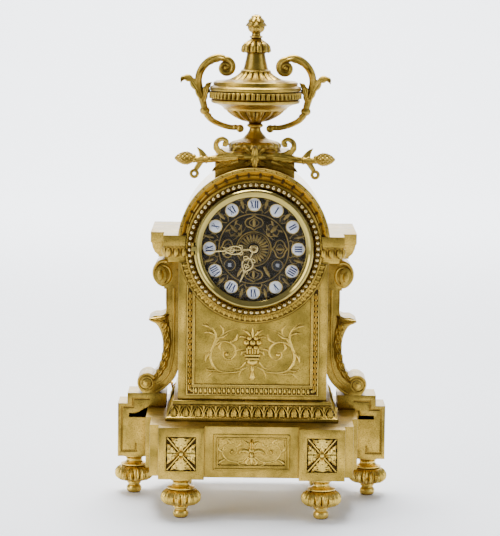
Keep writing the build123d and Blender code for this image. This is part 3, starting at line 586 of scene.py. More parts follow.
# ---- Case front -----------------------------------------------------------------------------
# The sunk front panel's frame: leaf-and-bead ornament cast between two fillets.
# It is screwed to the case from behind, and the ground between the leaves is dark with painted shade.
FRONT = -40.5
frame_parts = []
for side in (-1, 1):
    low, high = sorted((side * 48.5, side * 55))
    frame_parts.append(slab(low, high, FRONT - 0.7, FRONT + 0.6, 98.1, 191, 0.2))
    frame_parts.append(tube([(side * 54.5, 98.4), (side * 54.5, 190)], (1.1, 1.1), FRONT - 0.9, 1, 8, 1))
    frame_parts.append(tube([(side * 50.1, 105), (side * 50.1, 184)], (0.9, 0.9), FRONT - 0.8, 1, 8, 1))
    frame_parts.append(tube([(side * 48.7, 106.8), (side * 48.7, 184)], (0.9, 0.9), FRONT - 0.6, 1, 8, 1))
frame_parts.append(slab(-48.6, 48.6, FRONT - 0.7, FRONT + 0.6, 98.1, 107, 0.2))
for x, z in ((54.5, 98.6), (50.1, 105.2), (48.7, 106.8)):
    frame_parts.append(tube([(-x, z), (x, z)], (1, 1), FRONT - 0.8, 1, 8, 1))
husk = [
    leaf([(0, -2.2), (0, 0.2), (0, 2.3)], (2, 4.2, 1), 0, 1.7, 2, 0.35, 3),
    ball(0, -0.8, 2.3, 0.75, 0.8, 0.75, 8, 6),
]
tongue = [
    ball(0, -0.3, 0, 1.25, 1.2, 2.5, 8, 6),
    tube([(-1.95, -2.5), (-1.95, 2.5)], (0.7, 0.7), -0.3, 1, 6, 1),
]
for side in (-1, 1):
    frame_parts.append(row(husk, 17, (side * 52.3, FRONT - 0.9, 105.6), (0, 0, 4.75)))
frame_parts.append(row(tongue, 25, (-46.8, FRONT - 0.9, 101.9), (3.9, 0, 0)))
for side in (-1, 1):
    frame_parts.append(leaf([(side * 49.4, 101.2), (side * 51.6, 102.8), (side * 53.6, 104)], (2.6, 4, 1),
                            FRONT - 0.6, 1.2, 2, 0.3))
build("front_frame_chased", frame_parts, gilt_relief, instead_of=["front_frame"])
# Painted shade: dark slabs behind the leaves and tongues of the frame.
frame_shade_parts = [slab(min(a, b), max(a, b), FRONT - 0.95, FRONT, 103.4, 188, 0.05) for a, b in ((50.7, 54), (-50.7, -54))]
frame_shade_parts.append(slab(-54, 54, FRONT - 0.95, FRONT, 99.4, 104.4, 0.05))
build("front_frame_grounds", frame_shade_parts, hollow_dark)

# ---- Panel relief ---------------------------------------------------------------------------
# Low relief cast with the front panel and sharpened with a chisel:
# a small urn of fruit between scrolling acanthus stems.
GROUND = FRONT + 0.3
scrolls = [
    tube([(-7.5, 121), (-12.8, 117.8), (-25.5, 117.9), (-32.6, 122.6), (-35.2, 131.4), (-32.6, 139.6), (-30.6, 147),
          (-33.4, 154), (-39.4, 159.8)], (1.5, 1.9, 2, 2.1, 2.2, 2.1, 2, 1.6, 0.5), GROUND, 0.8),
    tube([(-33, 138.6), (-26.8, 142.9), (-19.4, 142.6), (-14.4, 137.6), (-14.6, 131.6), (-19, 128.2), (-23.8, 130.2),
          (-23.6, 134.6), (-20.4, 134.9)], (1.4, 2, 1.9, 1.7, 1.6, 1.5, 1.4, 1.2, 0.9), GROUND, 0.8),
    ball(-21.2, GROUND - 0.3, 132.6, 1.7, 1.2, 1.7),
    tube([(-31.6, 140.4), (-27, 147.2), (-20, 152.4), (-11.6, 154.8)], (1.6, 1.6, 1.2, 0.4), GROUND, 0.8),
    tube([(-5.5, 126), (-9.6, 121.6), (-14.4, 121), (-19.6, 124.2)], (1.5, 1.4, 1.1, 0.5), GROUND, 0.8),
    tube([(-14, 117.8), (-24, 116.2), (-33, 116.6), (-37.6, 112.4)], (1.2, 1.4, 1.4, 0.4), GROUND, 0.8),
    tube([(-4, 122), (-9.4, 118.6), (-11.4, 113)], (1.6, 1.4, 0.4), GROUND, 0.8),
    leaf([(-34.6, 134), (-38.4, 130.6), (-39.2, 125.8)], (2.4, 3.4, 0.5), GROUND, 1.1),
    leaf([(-31, 146), (-25, 147.4), (-20.4, 150.6)], (1.4, 3.2, 0.4), GROUND, 1),
    leaf([(-24.6, 149.8), (-24.8, 154.4), (-28, 158)], (1.2, 2.4, 0.4), GROUND, 1),
    leaf([(-18.6, 142.6), (-13.8, 145.6), (-12.6, 150)], (1.6, 3, 0.4), GROUND, 1),
    leaf([(-14.8, 134.6), (-10.6, 137.4), (-8.8, 136.2)], (1.4, 2.4, 0.4), GROUND, 1),
    leaf([(-30, 119.6), (-35.4, 119), (-39.6, 121)], (1.8, 2.8, 0.4), GROUND, 1),
    leaf([(-31.4, 149), (-36, 151), (-41, 150.4)], (1.6, 2.8, 0.4), GROUND, 1),
    leaf([(-33.2, 153.6), (-38.6, 156.6), (-43.6, 157.4)], (1.4, 2.4, 0.4), GROUND, 1),
    leaf([(-26, 142.6), (-27.6, 138.4), (-25.6, 135.6)], (1.4, 2.6, 0.4), GROUND, 1),
    leaf([(-1.8, 148), (-5.2, 152), (-8.6, 153.4)], (2, 2.8, 0.5), GROUND, 1.2),
    leaf([(-4.6, 146.4), (-8.6, 147.8), (-11.4, 146.8)], (1.8, 2.6, 0.5), GROUND, 1.2),
    leaf([(-4.4, 135.6), (-8.4, 134.6), (-9.8, 131.6)], (1.8, 2.4, 0.5), GROUND, 1.1),
    ball(-5.2, GROUND - 0.7, 142.8, 2.5, 1.9, 2.5), ball(-2.6, GROUND - 1, 138.6, 1.9, 1.6, 1.9),
    ball(-2.8, GROUND - 0.8, 146.4, 2, 1.6, 2),
]
vase = [
    ball(0, GROUND - 1.1, 142.8, 2.6, 2, 2.6), leaf([(0, 147), (0, 151), (0, 155.4)], (2.4, 3.4, 0.4), GROUND, 1.5),
    slab(-6.6, 6.6, GROUND - 1.5, GROUND + 0.5, 130.6, 133, 0.5),
    slab(-5.8, 5.8, GROUND - 1.8, GROUND + 0.5, 128, 130.2, 0.6),
    ball(0, GROUND, 126.6, 4.6, 1.7, 3.4), ball(0, GROUND, 120.6, 1.5, 1.3, 3.6),
    leaf([(0, 118.6), (0, 114), (0, 111.4)], (1.6, 5.4, 4), GROUND, 1.2, 2, 0.2),
]
for k in (-2, -1, 0, 1, 2):
    vase.append(tube([(k * 2.1, 133.4), (k * 2.3, 138)], (1.9, 2), GROUND - 0.6, 1, 8, 1))
build("panel_relief", both(scrolls) + vase, gilt_relief)

# ---- Shoulders ------------------------------------------------------------------------------
# Stepped cast blocks with an egg-and-dart band on the front and the outer side.
# They are pinned to the case sides under the spring of the arch.
egg = [
    ball(0, -0.6, -0.4, 2.5, 2.6, 4, 16, 10),
    tube([(-3.1, 3.9), (-3, -0.8), (-1.9, -3.6), (0, -4.6), (1.9, -3.6), (3, -0.8), (3.1, 3.9)], (0.9, 0.9), -0.2),
    tube([(3.5, 3.6), (3.5, -3.8)], (1, 0.5), -0.4, 1, 6, 1),
]
eggs = []
for side in (-1, 1):
    eggs.append(row(egg, 3, (side * 57.6 - (13.2 if side < 0 else 0), -43.2, 218.4), (6.6, 0, 0), (16, 0, 0)))
eggs.append(row(egg, 4, (73.4, -40, 218.4), (0, 7, 0), (16, 0, 90)))
eggs.append(row(egg, 4, (-73.4, -19, 218.4), (0, -7, 0), (16, 0, 270)))
build("shoulder_eggs", eggs, gilt)

# ---- Brackets -------------------------------------------------------------------------------
# S-shaped cast brackets, screwed to the case sides: a scroll at each end, raised rims,
# and an acanthus leaf laid down the hollow side.
FACE = 15


def coil(cx, cz, start, turns, r0, r1, rz=1):
    """Points of a scroll from r0 in to r1: clockwise, or the other way where turns is negative."""
    many = int(14 * abs(turns))
    return [(cx + (r0 + (r1 - r0) * i / many) * cos(radians(start - 360 * turns * i / many)),
             cz + rz * (r0 + (r1 - r0) * i / many) * sin(radians(start - 360 * turns * i / many)))
            for i in range(many + 1)]


rims = [
    tube([(62.9, 208), (62.9, 130), (63, 118), (65.4, 107), (70.4, 99.4), (77.4, 93.4), (82.4, 91)], (1.5, 2.2),
         FACE, 1),
    tube([(67.6, 181), (67.4, 140), (67.8, 124), (70.4, 110), (75.4, 101.8), (81.8, 97.6)], (2.6, 1.6), FACE, 0.9),
    tube([(73.6, 181), (73.6, 165), (73.4, 158), (72.4, 150)], (1.5, 0.6), FACE, 1),
    tube(coil(76.6, 193.2, 110, 1.35, 9, 4.6, 1.22), (3.4, 1.6), FACE, 0.9, 10, 2),
    tube(coil(90.4, 98.6, 150, 1.55, 8, 3.6), (2.4, 1.2), FACE, 0.9, 8, 2),
    ball(79, FACE - 0.4, 191.8, 3.3, 1.8, 5.4, 20, 12), ball(90.2, FACE - 0.2, 98.8, 3.2, 1.4, 3.2),
    leaf([(71.6, 158), (76.6, 154.6), (82.6, 153.6), (88.2, 154)], (1.5, 4.2, 4.6, 2), FACE - 0.3, 1.6, 1, 0.1),
    leaf([(74, 158), (73, 146), (72.2, 134), (73.6, 122), (76.6, 112), (81, 104.4), (85, 100.4)],
         (2, 5, 6, 6.2, 5.6, 4.2, 1.5), FACE - 0.2, 1.8, 7, 0.3, 9),
]
for x, z, dx, dz in ((74.4, 151, 2.6, -5), (73.2, 143, 2, -6), (72.8, 134.6, 2.2, -6.2), (73.6, 126.4, 2.6, -6),
                     (75.4, 118.4, 2.8, -5.6), (78.2, 110.8, 3, -4.6)):
    lobe_line = [(x, z), (x + dx * 0.35, z + dz * 0.5), (x + dx, z + dz)]
    rims.append(leaf(lobe_line, (3.6, 6.4, 3.8), FACE - 0.9, 2, 1, 0.05, 5))
build("bracket_carving_right", rims, gilt)
build("bracket_carving_left", other_side(rims), gilt)

# ---- Arch and lower ring --------------------------------------------------------------------
# Cast mouldings round the dial, pinned to the front: long beads and fine pearls over the arch,
# and a band of small leaves round the lower part.
DIAL = 221.6
SPRING = 225.6


def swept(profile, cx, cz, first, last, n):
    """Closed (radius, y) outline swept about an axis from front to back, between two angles."""
    full = abs(last - first) >= 360
    steps = n if full else n + 1
    verts = []
    for i in range(steps):
        a = radians(first + (last - first) * i / n)
        verts += [(cx + r * cos(a), y, cz + r * sin(a)) for r, y in profile]
    return verts, skin(steps, len(profile), full)


arch_line = [(56.2, -39.6), (56.2, -42.6), (56.8, -42.4), (57.6, -41.5), (59, -41.3), (60, -42), (60.3, -43.6),
             (60.9, -43.9), (61.3, -43.4), (61.8, -43.4), (62.6, -43.6), (63.2, -43), (63.2, -39.6)]
arch_ring = swept(arch_line, 0, SPRING, 6.5, 173.5, 120)
low_line = [(56, -39), (56, -42.4), (57, -42.8), (59.6, -42.2), (60.2, -41.4), (60.8, -41.4), (61.2, -42.2),
            (62, -42.2), (62.4, -41.4), (62.4, -39)]
low_ring = swept(low_line, 0, DIAL, -168, -12, 120)
long_bead = [tube([(-3.9, 0), (0, 0.15), (3.9, 0)], (2.3, 2.3), 0, 1, 10, 2),
             tube([(-4.3, -0.9), (-4.3, 0.9)], (0.4, 0.4), -0.9)]
small_leaf = [leaf([(0, -2.4), (0, 0.4), (0, 2.6)], (1.6, 3.2, 1.2), 0, 1, 2, 0.2, 3), ball(2.2, -0.2, -1.6, 0.7)]
castings = [
    ring(long_bead, 20, 61.9, (0, -43.5, SPRING), 9, 8.53),
    ring([ball(0, -0.4, 0, 0.55, 0.6, 0.55, 6, 4)], 80, 60.6, (0, -43.7, SPRING), 9, 2.05),
    ring(small_leaf, 36, 58.2, (0, -42.6, DIAL), -166, 4.35),
]
build("arch_and_ring", [arch_ring, low_ring] + castings, gilt, instead_of=["arch_moulding"])

# ---- Beaded ring ----------------------------------------------------------------------------
# A cast channel filled with a ring of pearls, screwed round the dial opening.
# It carries the fixed knuckles of the bezel's hinge and the pin.


def hoop(radius, wide, y, high, cx=0, cz=DIAL, n=120, sides=10):
    """Round-sectioned ring lying flat against the front."""
    line = [(radius + wide / 2 * cos(2 * pi * k / sides), y - high * sin(2 * pi * k / sides)) for k in range(sides)]
    return swept(line, cx, cz, 0, 360, n)


channel = [(50.4, -40.5), (50.4, -44.2), (51, -44.6), (51.5, -43.6), (54.5, -43.6), (55, -44.5), (55.8, -44.2),
           (56.9, -43), (56.9, -40.5)]
HINGE_X = -50.6
HINGE_Y = -49


def pin(radius, half, radial, z, n):
    """Turned pin or knuckle on the hinge line, with its ends eased."""
    line = [(0.05, -half), (radius - radial, -half), (radius, 0.2 - half)]
    line = [(r, z + h) for r, h in line + [(r, -h) for r, h in reversed(line)]]
    return turned(line, HINGE_X, HINGE_Y, n)


knuckles = []
for z in (DIAL - 3.6, DIAL + 3.6):
    knuckles += [pin(1.1, 1.5, 0.2, z, 24), slab(HINGE_X - 0.4, HINGE_X + 0.6, HINGE_Y, -44, z - 1.5, z + 1.5, 0.1)]
knuckles.append(pin(0.5, 5.1, 0.1, DIAL, 16))
pearl = [ball(0, 0, 0, 1.8, 1.9, 1.8, 14, 10)]
rope = [tube([(-0.9, -0.5), (0.9, 0.5)], (0.9, 0.9), 0, 1, 6, 1)]
channel_parts = [swept(channel, 0, DIAL, 0, 360, 160), ring(rope, 150, 55.7, (0, -44.4, DIAL))]
build("pearl_channel", channel_parts + knuckles, gilt, instead_of=["bead_surround"])
pearl_gilt = gilding("pearl_gilt", (0.66, 0.53, 0.26), (0.50, 0.39, 0.17), (0.10, 0.05, 0.01), 0.24, reach=0.0014)
build("pearls", [ring(pearl, 70, 53, (0, -44.9, DIAL), 1)], pearl_gilt)

# ---- Cove over the dial ---------------------------------------------------------------------
# The hollow band between the pearls and the arch, turned in one with the arch and lacquered amber.
# Short slots are chased across it, dark inside with painted shade.
amber = gilding("gilt_amber", (0.46, 0.235, 0.014), (0.33, 0.165, 0.011), (0.10, 0.035, 0.003), 0.30)
cove = [(53, -40.2), (53, -41), (54.6, -40.95), (56.4, -41.1), (58.2, -41.8), (59.6, -42.9), (60.4, -43.3),
        (60.4, -40.2)]
build("arch_cove", [swept(cove, 0, SPRING, 4, 176, 120)], amber)
# Painted shade: dark blocks stand in the slots.
slot_shade_block = [slab(-0.95, 0.95, -0.9, 0.9, -2.2, 2.2, 0.15)]
build("arch_cove_slots", [ring(slot_shade_block, 18, 57.4, (0, -41.7, SPRING), 7.6, 9.7)], hollow_dark)

# ---- Bezel and glass ------------------------------------------------------------------------
# A spun brass ring, polished and lacquered, hinged at the left.
# The domed glass is held in it by a soldered lip.
bezel_brass = gilding("bezel_brass", (0.46, 0.355, 0.100), (0.36, 0.275, 0.070), (0.06, 0.03, 0.006), 0.14,
                      0.00002, 24, 0.0015, 0.2)
eased("bezel_frame", 0.25, bezel_brass, "bezel")


def glazed(name, colour, other, rough, scale, alpha=1, grain=0.00001):
    """Glassy finish: a colour that drifts into another, with faint waves in the surface."""
    finish = plain_finish(name, colour, rough)
    tree = finish.node_tree
    shader = tree.nodes["Principled BSDF"].inputs
    shader["Alpha"].default_value = alpha
    drift = noise(tree, scale, 5)
    tree.links.new(ramp(tree, drift, (0.35, other), (0.6, colour)), shader["Base Color"])
    tree.links.new(field(tree, "ShaderNodeBump", Distance=grain, Height=drift), shader["Normal"])
    return finish


glass = glazed("glass", (0.030, 0.034, 0.036), (0.020, 0.024, 0.026), 0.04, 30, 0.06)

# ---- Dial -----------------------------------------------------------------------------------
# A dark bronze plate with chased gilt strapwork and two winding holes.
# Twelve fired enamel discs, with painted numerals, are pressed into gilt collets.
dial_bronze = gilding("dial_bronze", (0.042, 0.034, 0.023), (0.024, 0.021, 0.017), (0.008, 0.006, 0.004), 0.42,
                      0.00008, 60)
chasing_gilt = gilding("chasing_gilt", (0.36, 0.25, 0.075), (0.17, 0.125, 0.045), (0.03, 0.02, 0.008), 0.36,
                       0.00005, 90, 0.0012)
enamel = glazed("enamel", (0.84, 0.87, 0.93), (0.72, 0.76, 0.84), 0.16, 420)
enamel_blue = glazed("enamel_blue", (0.012, 0.018, 0.075), (0.02, 0.03, 0.12), 0.22, 900)
LAID = -42.45
HOUR_CIRCLE = 36.9
WINDING_X = 19.8
WINDING_Z = 207.9
quarter = both([
    tube([(0, 28), (2, 26.2), (5.8, 24.6), (7.4, 21.6), (6, 18.8), (2.4, 17.4), (0, 15.4)], (1.1, 1.1), LAID, 0.7),
    tube([(0, 25.2), (3.4, 23), (3.6, 20.4), (0, 18.2)], (0.6, 0.6), LAID, 0.7, 6),
    tube([(1.2, 31), (5, 32.4), (7.2, 30.6), (6.2, 29.2)], (0.8, 0.5), LAID, 0.7, 6),
]) + [leaf([(0, 18.6), (0, 21.6), (0, 25)], (1.2, 3, 0.4), LAID, 0.5, 2)]
corner = both([
    tube([(0.4, 15.6), (3.2, 18), (5.4, 21.6), (4.2, 25), (1.6, 25), (1.8, 22.8)], (0.9, 0.5), LAID, 0.7),
    tube([(1, 17), (4.6, 16.6), (7.2, 17.6)], (0.8, 0.4), LAID, 0.7, 6),
    leaf([(2, 20), (4.6, 20.4), (7.2, 21.6)], (1.2, 1.8, 0.3), LAID, 0.5, 2),
    leaf([(3, 24.8), (5.2, 26.4), (7, 26.4)], (1, 1.8, 0.3), LAID, 0.5, 2),
]) + [leaf([(0, 19.6), (0, 23.2), (0, 28.2)], (1.6, 3.4, 0.5), LAID, 0.55, 2), ball(0, LAID, 17.2, 1.1, 0.5, 1.6)]


def on_dial(shapes):
    return [([(x, y, z + DIAL) for x, y, z in verts], faces) for verts, faces in shapes]


chased = [hoop(14.3, 1.1, LAID, 0.5), hoop(29, 1, LAID, 0.5), hoop(5.2, 0.8, -42.7, 0.4), hoop(12.7, 0.7, -42.7, 0.4),
          hoop(46.6, 0.8, LAID, 0.5)]
chased.append(ring([ball(0, 0, 0, 0.95, 0.4, 3.4, 8, 8)], 24, 8.9, (0, -42.8, DIAL)))
for k in range(4):
    chased += turned_about(on_dial(quarter), 90 * k, 0, DIAL)
for angle in (45, 315):
    chased += turned_about(on_dial(corner), angle, 0, DIAL)
lone_leaf = [leaf([(0, 17), (0, 22), (0, 27.6)], (1.6, 3, 0.5), LAID, 0.5, 2)]
for angle in (150, 210):
    chased += turned_about(on_dial(lone_leaf), angle, 0, DIAL)
between = both([tube([(0.6, -6), (3, -3), (2.4, 0.6), (0.4, 0.4)], (0.7, 0.4), 0, 0.7, 6, 3),
                tube([(0.4, 4.6), (3, 5.6), (3.6, 8.4)], (0.7, 0.4), 0, 0.7, 6, 3)])
between += [leaf([(0, -2.4), (0, 2.4), (0, 8.6)], (1.2, 2.8, 0.6), 0, 0.5, 3)]
chased.append(ring(between, 12, HOUR_CIRCLE, (0, LAID, DIAL), 15))
build("dial_chasing", chased, chasing_gilt)

discs = []
collets = []
for hour in range(12):
    cx, cz = HOUR_CIRCLE * sin(pi * hour / 6), DIAL + HOUR_CIRCLE * cos(pi * hour / 6)
    discs.append(swept([(0.05, -43.2), (2.4, -43.16), (4.2, -43), (5, -42.7), (5.3, -42.4), (0.05, -42.4)], cx, cz,
                       0, 360, 40))
    collets.append(hoop(5.45, 0.75, -42.6, 0.45, cx, cz, 40, 8))
# Painted shade: black discs fill the winding holes.
well_line = [(0.05, -42.46), (4.3, -42.46), (4.3, -41.5), (0.05, -41.5)]
hole_shade_discs = [swept(well_line, cx, WINDING_Z, 0, 360, 40) for cx in (-WINDING_X, WINDING_X)]
lamp_black = glazed("lamp_black", (0.004, 0.004, 0.004), (0.008, 0.007, 0.006), 0.6, 300)
build("winding_wells", hole_shade_discs, lamp_black)
rims = [hoop(4.6, 0.7, -42.5, 0.5, cx, WINDING_Z, 40, 8) for cx in (-WINDING_X, WINDING_X)]
build("winding_hole_rims", rims, chasing_gilt)
build("hour_discs", discs, enamel, instead_of=["hour_cartouches"])
build("hour_collets", collets, gilt_bright)


def stroke(x0, z0, x1, z1, wide):
    """Painted stroke, cut square at both ends."""
    half = wide / 2
    corners = [(x0 - half, z0), (x0 + half, z0), (x1 + half, z1), (x1 - half, z1)]
    verts = [(x, -43.26, z) for x, z in corners] + [(x, -42.7, z) for x, z in corners]
    faces = [(0, 1, 2, 3), (4, 5, 6, 7)] + [(k, (k + 1) % 4, (k + 1) % 4 + 4, k + 4) for k in range(4)]
    return verts, faces


LETTER_WIDTH = {"I": 1.9, "V": 3.2, "X": 3.5}
top, foot = 3, -3
painted = []
for hour, letters in enumerate(("XII", "I", "II", "III", "IIII", "V", "VI", "VII", "VIII", "IX", "X", "XI")):
    full = sum(LETTER_WIDTH[c] for c in letters)
    squeeze = min(1, 8 / full)
    at = -full * squeeze / 2
    numeral = []
    for c in letters:
        wide = LETTER_WIDTH[c] * squeeze
        mid = at + wide / 2
        if c == "I":
            numeral.append(stroke(mid, foot, mid, top, 1.15 * squeeze))
        elif c == "V":
            numeral.append(stroke(mid, foot, at + 0.5 * squeeze, top, 1.05 * squeeze))
            numeral.append(stroke(mid, foot, at + wide - 0.5 * squeeze, top, 0.5 * squeeze))
        else:
            numeral.append(stroke(at + wide - 0.6 * squeeze, foot, at + 0.6 * squeeze, top, 1.05 * squeeze))
            numeral.append(stroke(at + 0.6 * squeeze, foot, at + wide - 0.6 * squeeze, top, 0.5 * squeeze))
        for z in (foot, top):
            numeral.append(stroke(mid - wide * 0.45, z, mid - wide * 0.45, z + 0.24, 0.01))
            numeral.append(stroke(mid, z - 0.12, mid, z + 0.12, wide * 0.86))
        at += wide
    placed = [([(x, y, z + DIAL + HOUR_CIRCLE) for x, y, z in verts], faces) for verts, faces in numeral]
    painted += turned_about(placed, 30 * hour, 0, DIAL)
build("hour_numerals", painted, enamel_blue)

# ---- Hands ----------------------------------------------------------------------------------
# Two pierced gilt hands, sawn from sheet and filed.
# The nut in front holds the minute hand on its square; the hour hand is a push fit on its pipe.
hand_gilt = gilding("hand_gilt", (0.86, 0.66, 0.26), (0.72, 0.54, 0.20), (0.16, 0.08, 0.02), 0.24,
                    0.00004, 120, 0.001)


def pierced_hand(name, length, hub, y, angle, body, node):
    """Hub ring, a stem, a pierced loop with a bar through it, a collar and a long tip."""
    s = length / 30.5 * (0.86 if length > 35 else 1)
    wide = 3.4 if length > 35 else 4.4
    half = both([
        tube([(0.2, 8.4 * s), (2.2, 9.6 * s), (wide, 13 * s), (wide * 0.8, 16.4 * s), (1.2, 19.4 * s),
              (0.2, 21.6 * s)], (1.5, 1.2), y, 0.4),
        tube([(0.3, 8.6 * s), (2.4, 8 * s), (wide * 1.1, 8.6 * s), (wide * 1.1, 10.4 * s), (2, 10.6 * s)],
             (1, 0.7), y, 0.6, 6),
        tube([(0.3, 13.6 * s), (wide * 0.5, 15.4 * s), (0.3, 17.2 * s)], (0.8, 0.8), y, 0.6, 6),
        tube([(0.3, 19.6 * s), (2.4, 20 * s), (2.8, 22.4 * s)], (1, 0.5), y, 0.6, 6),
    ])
    shapes = half + [
        hoop(hub - 1, 2, y, 0.3, 0, 0, 48), tube([(0, hub - 0.6), (0, 8.8 * s)], (1.9, 1.1), y, 0.3, 8, 3),
        tube([(0, 8.6 * s), (0, 14 * s), (0, 21.4 * s)], (0.7, 0.8), y, 0.4, 8, 3),
        tube([(0, 21 * s), (0, 24.6 * s), (0, length)], (1.2, 1.7, 0.3), y, 0.32, 8, 4),
    ]
    build(name, turned_about(on_dial(shapes), angle, 0, DIAL), hand_gilt, body, [node])


pierced_hand("hour_hand_pierced", 30.5, 3.6, -43.6, 202, "hour_pipe", "hour_hand")
pierced_hand("minute_hand_pierced", 41.6, 3.2, -45.1, 266.4, "minute_arbor", "minute_hand")

# ---- Urn ------------------------------------------------------------------------------------
# A covered urn of turned and chased bronze, drawn together on a threaded rod:
# foot, leaf-wrapped bowl with a fluted rim, domed cover, and a bud on top.


def closer(line, gap=0.9):
    """The profile with points added so that no step along it is longer than the gap."""
    out = []
    for (r0, z0), (r1, z1) in zip(line, line[1:]):
        many = max(1, int(hypot(r1 - r0, z1 - z0) / gap)) if min(r0, r1) > 1 else 1
        out += [(r0 + (r1 - r0) * k / many, z0 + (z1 - z0) * k / many) for k in range(many)]
    return out + [line[-1]]


def lobed(low, high, count, depth, droop=0, veins=0):
    """Leaf lobes cut into a turning between two heights."""
    def shape(r, z, a):
        if low < z < high:
            edge = min(1, (z - low) / 0.6, (high - z) / 0.6)
            lobe = abs(sin(count * a / 2))
            r = r * (1 - depth * edge * (1 - lobe ** 0.55) + veins * edge * cos(count * 4 * a) * lobe)
            z = z - droop * edge * lobe
        return r, z
    return shape


def both_lobed(first, second):
    return lambda r, z, a: second(*first(r, z, a), a)


urn_foot_line = [(0.6, 300.5), (21.7, 300.5), (21.7, 302.4), (22.1, 303), (22.5, 304), (22.5, 305.6),
                 (21.6, 306.8), (19, 308.2), (15, 309), (12, 309.8), (10, 310.8), (8.6, 312.6), (6.6, 314.8),
                 (5.2, 317), (4.6, 319), (5.2, 319.6), (6.7, 320.4), (7, 321.4), (6.4, 322.4), (5.2, 323.2),
                 (6.7, 324.4), (0.6, 324.4)]
build("urn_foot_chased", [turned(closer(urn_foot_line), 0, 0, 216, lobed(303.2, 309.2, 18, 0.06, 0.3, 0.006))], gilt,
      instead_of=["urn_foot"])
urn_body_line = [(0.6, 324.4), (7.2, 324.4), (10.4, 325.2), (13.6, 326.6), (17.2, 328.4), (20.4, 330.4),
                 (22.8, 332.4), (24.6, 334.2), (26, 334.5), (26.4, 335.2), (27.4, 336.6), (29.4, 338),
                 (32, 339), (34.6, 339.7), (36.6, 340.2), (37.5, 341.4), (37.5, 342.6), (36.8, 343.4),
                 (37.6, 343.8), (38.9, 344.2), (38.9, 349.2), (38.2, 349.8), (0.6, 349.8)]
build("urn_bowl_chased", [turned(closer(urn_body_line), 0, 0, 448,
                                 both_lobed(lobed(324.9, 334.4, 16, 0.17, 0.2, 0.014), lobed(344, 349.4, 56, 0.06)))],
      gilt, instead_of=["urn_body"])
urn_lid_line = [(0.6, 349.8), (36.6, 349.8), (37.8, 350.4), (38.3, 351.2), (38.3, 353), (37.4, 354),
                (36.2, 354.4), (35.4, 355), (35.6, 356.6), (35.2, 357.8), (33.4, 358.6), (29, 359), (25, 359.6),
                (21.4, 360.6), (18, 362.2), (15, 364.2), (12.8, 366.2), (12.9, 367), (12.2, 367.8),
                (10.6, 368.4), (10, 370.4), (9, 374.4), (8, 379), (7.6, 381.8), (0.6, 381.8)]
build("urn_cover_chased", [turned(closer(urn_lid_line), 0, 0, 288, lobed(359.4, 366.4, 18, 0.15, 0.3, 0.012))], gilt,
      instead_of=["urn_lid"])


def finial_shape(r, z, a):
    if 382.6 < z < 392:
        lobe = abs(sin(6 * a))
        r = r * (1 - 0.20 * (1 - lobe ** 0.6))
        z = z - 0.8 * lobe * max(0, (388 - z) / 6)
    elif z > 399.8 and r > 2:
        row_at = (z - 399.8) / 4.2
        petal = abs(sin(4 * a + (pi / 2 if int(row_at) % 2 else 0)))
        r = r * (0.86 + 0.22 * petal ** 0.6 * (1 - (row_at - int(row_at))) ** 0.7) - 0.9 * max(0, (z - 405) / 9)
    return r, z


finial_line = [(0.4, 381.8), (7.4, 381.8), (10.4, 382.6), (12.8, 383.6), (13, 385), (12.3, 387.8), (10.4, 390),
               (8, 391.6), (5.6, 393), (4.2, 394.4), (5.4, 395), (5.4, 396), (3.8, 396.8), (3.6, 398.2),
               (4.6, 399.2), (6, 400.4), (7.8, 402.6), (8.6, 405.2), (7.8, 408), (6.6, 410.4), (5, 412.6),
               (3, 413.8), (1.2, 414.2), (0.4, 414.2)]
build("finial_bud", [turned(closer(finial_line, 0.55), 0, 0, 180, finial_shape)], gilt, instead_of=["finial"])

# ---- Urn handles ----------------------------------------------------------------------------
# Two cast scrolls screwed to the sides of the urn.
# Each has leaves where its arms meet and a rolled top.
handle = [
    tube(coil(25.2, 369.6, 75, -1.45, 7.4, 1.6), (5.2, 2.4), 0, 0.95, 12, 2),
    swept([(0.05, -0.7), (5.6, -0.7), (5.6, 0.7), (0.05, 0.7)], 25.2, 369.6, 0, 360, 40),
    ball(25, 0, 369.4, 2.3, 3, 2.3),
    tube([(26.4, 376.8), (29.4, 377.8), (34, 377.4), (40.4, 374), (45.8, 367.4), (48, 359), (46.4, 349),
          (43.6, 339.4), (42.3, 333)], (5.4, 6, 6.6, 6.6, 6.4, 6.2, 6.4, 6, 5.2), 0, 0.85, 14),
    tube([(42.2, 333), (38, 326.6), (30, 322.2), (21, 319.6), (13, 319.4)], (5.2, 4.4), 0, 0.95, 12),
    ball(42.4, 0, 333.4, 4.3, 3.3, 3.8), ball(12.6, 0, 318.6, 3.4, 3, 3.4),
    ball(39.8, 0, 329.2, 3.3, 3, 2.6), ball(16.6, 0, 319.6, 2.9, 2.8, 2.4),
]
blades = [
    leaf([(45.4, 344), (49.4, 352.6), (54.6, 359.6), (60.6, 360.6), (62.8, 356.6)], (5, 7.6, 6.6, 5, 0.8), -1.6,
         1.7, 4, 0.36),
    leaf([(44, 341), (42, 348.6), (40.4, 353.8), (36.8, 357.4)], (4.4, 7, 5.6, 0.8), -1.6, 1.6, 3, 0.36),
    leaf([(45.6, 345), (48, 355), (47.4, 363), (43.6, 370.4)], (3.4, 5.4, 5, 1.2), -2.2, 1.4, 5, 0.3),
    leaf([(41, 331.4), (36.4, 325.6), (29, 322)], (3.6, 4.8, 1.2), -1.8, 1.2, 3, 0.25),
    leaf([(43.4, 369), (38, 374.2), (31, 376.6), (24.6, 376)], (2.4, 4.8, 4.6, 1), -2.2, 1, 4, 0.15),
]
for face in (-1, 1):
    handle += [([(x, -face * y, z) for x, y, z in verts], faces) for verts, faces in blades]
build("urn_handle_scroll_right", handle, gilt, instead_of=["urn_handle_right"])
build("urn_handle_scroll_left", other_side(handle), gilt, instead_of=["urn_handle_left"])

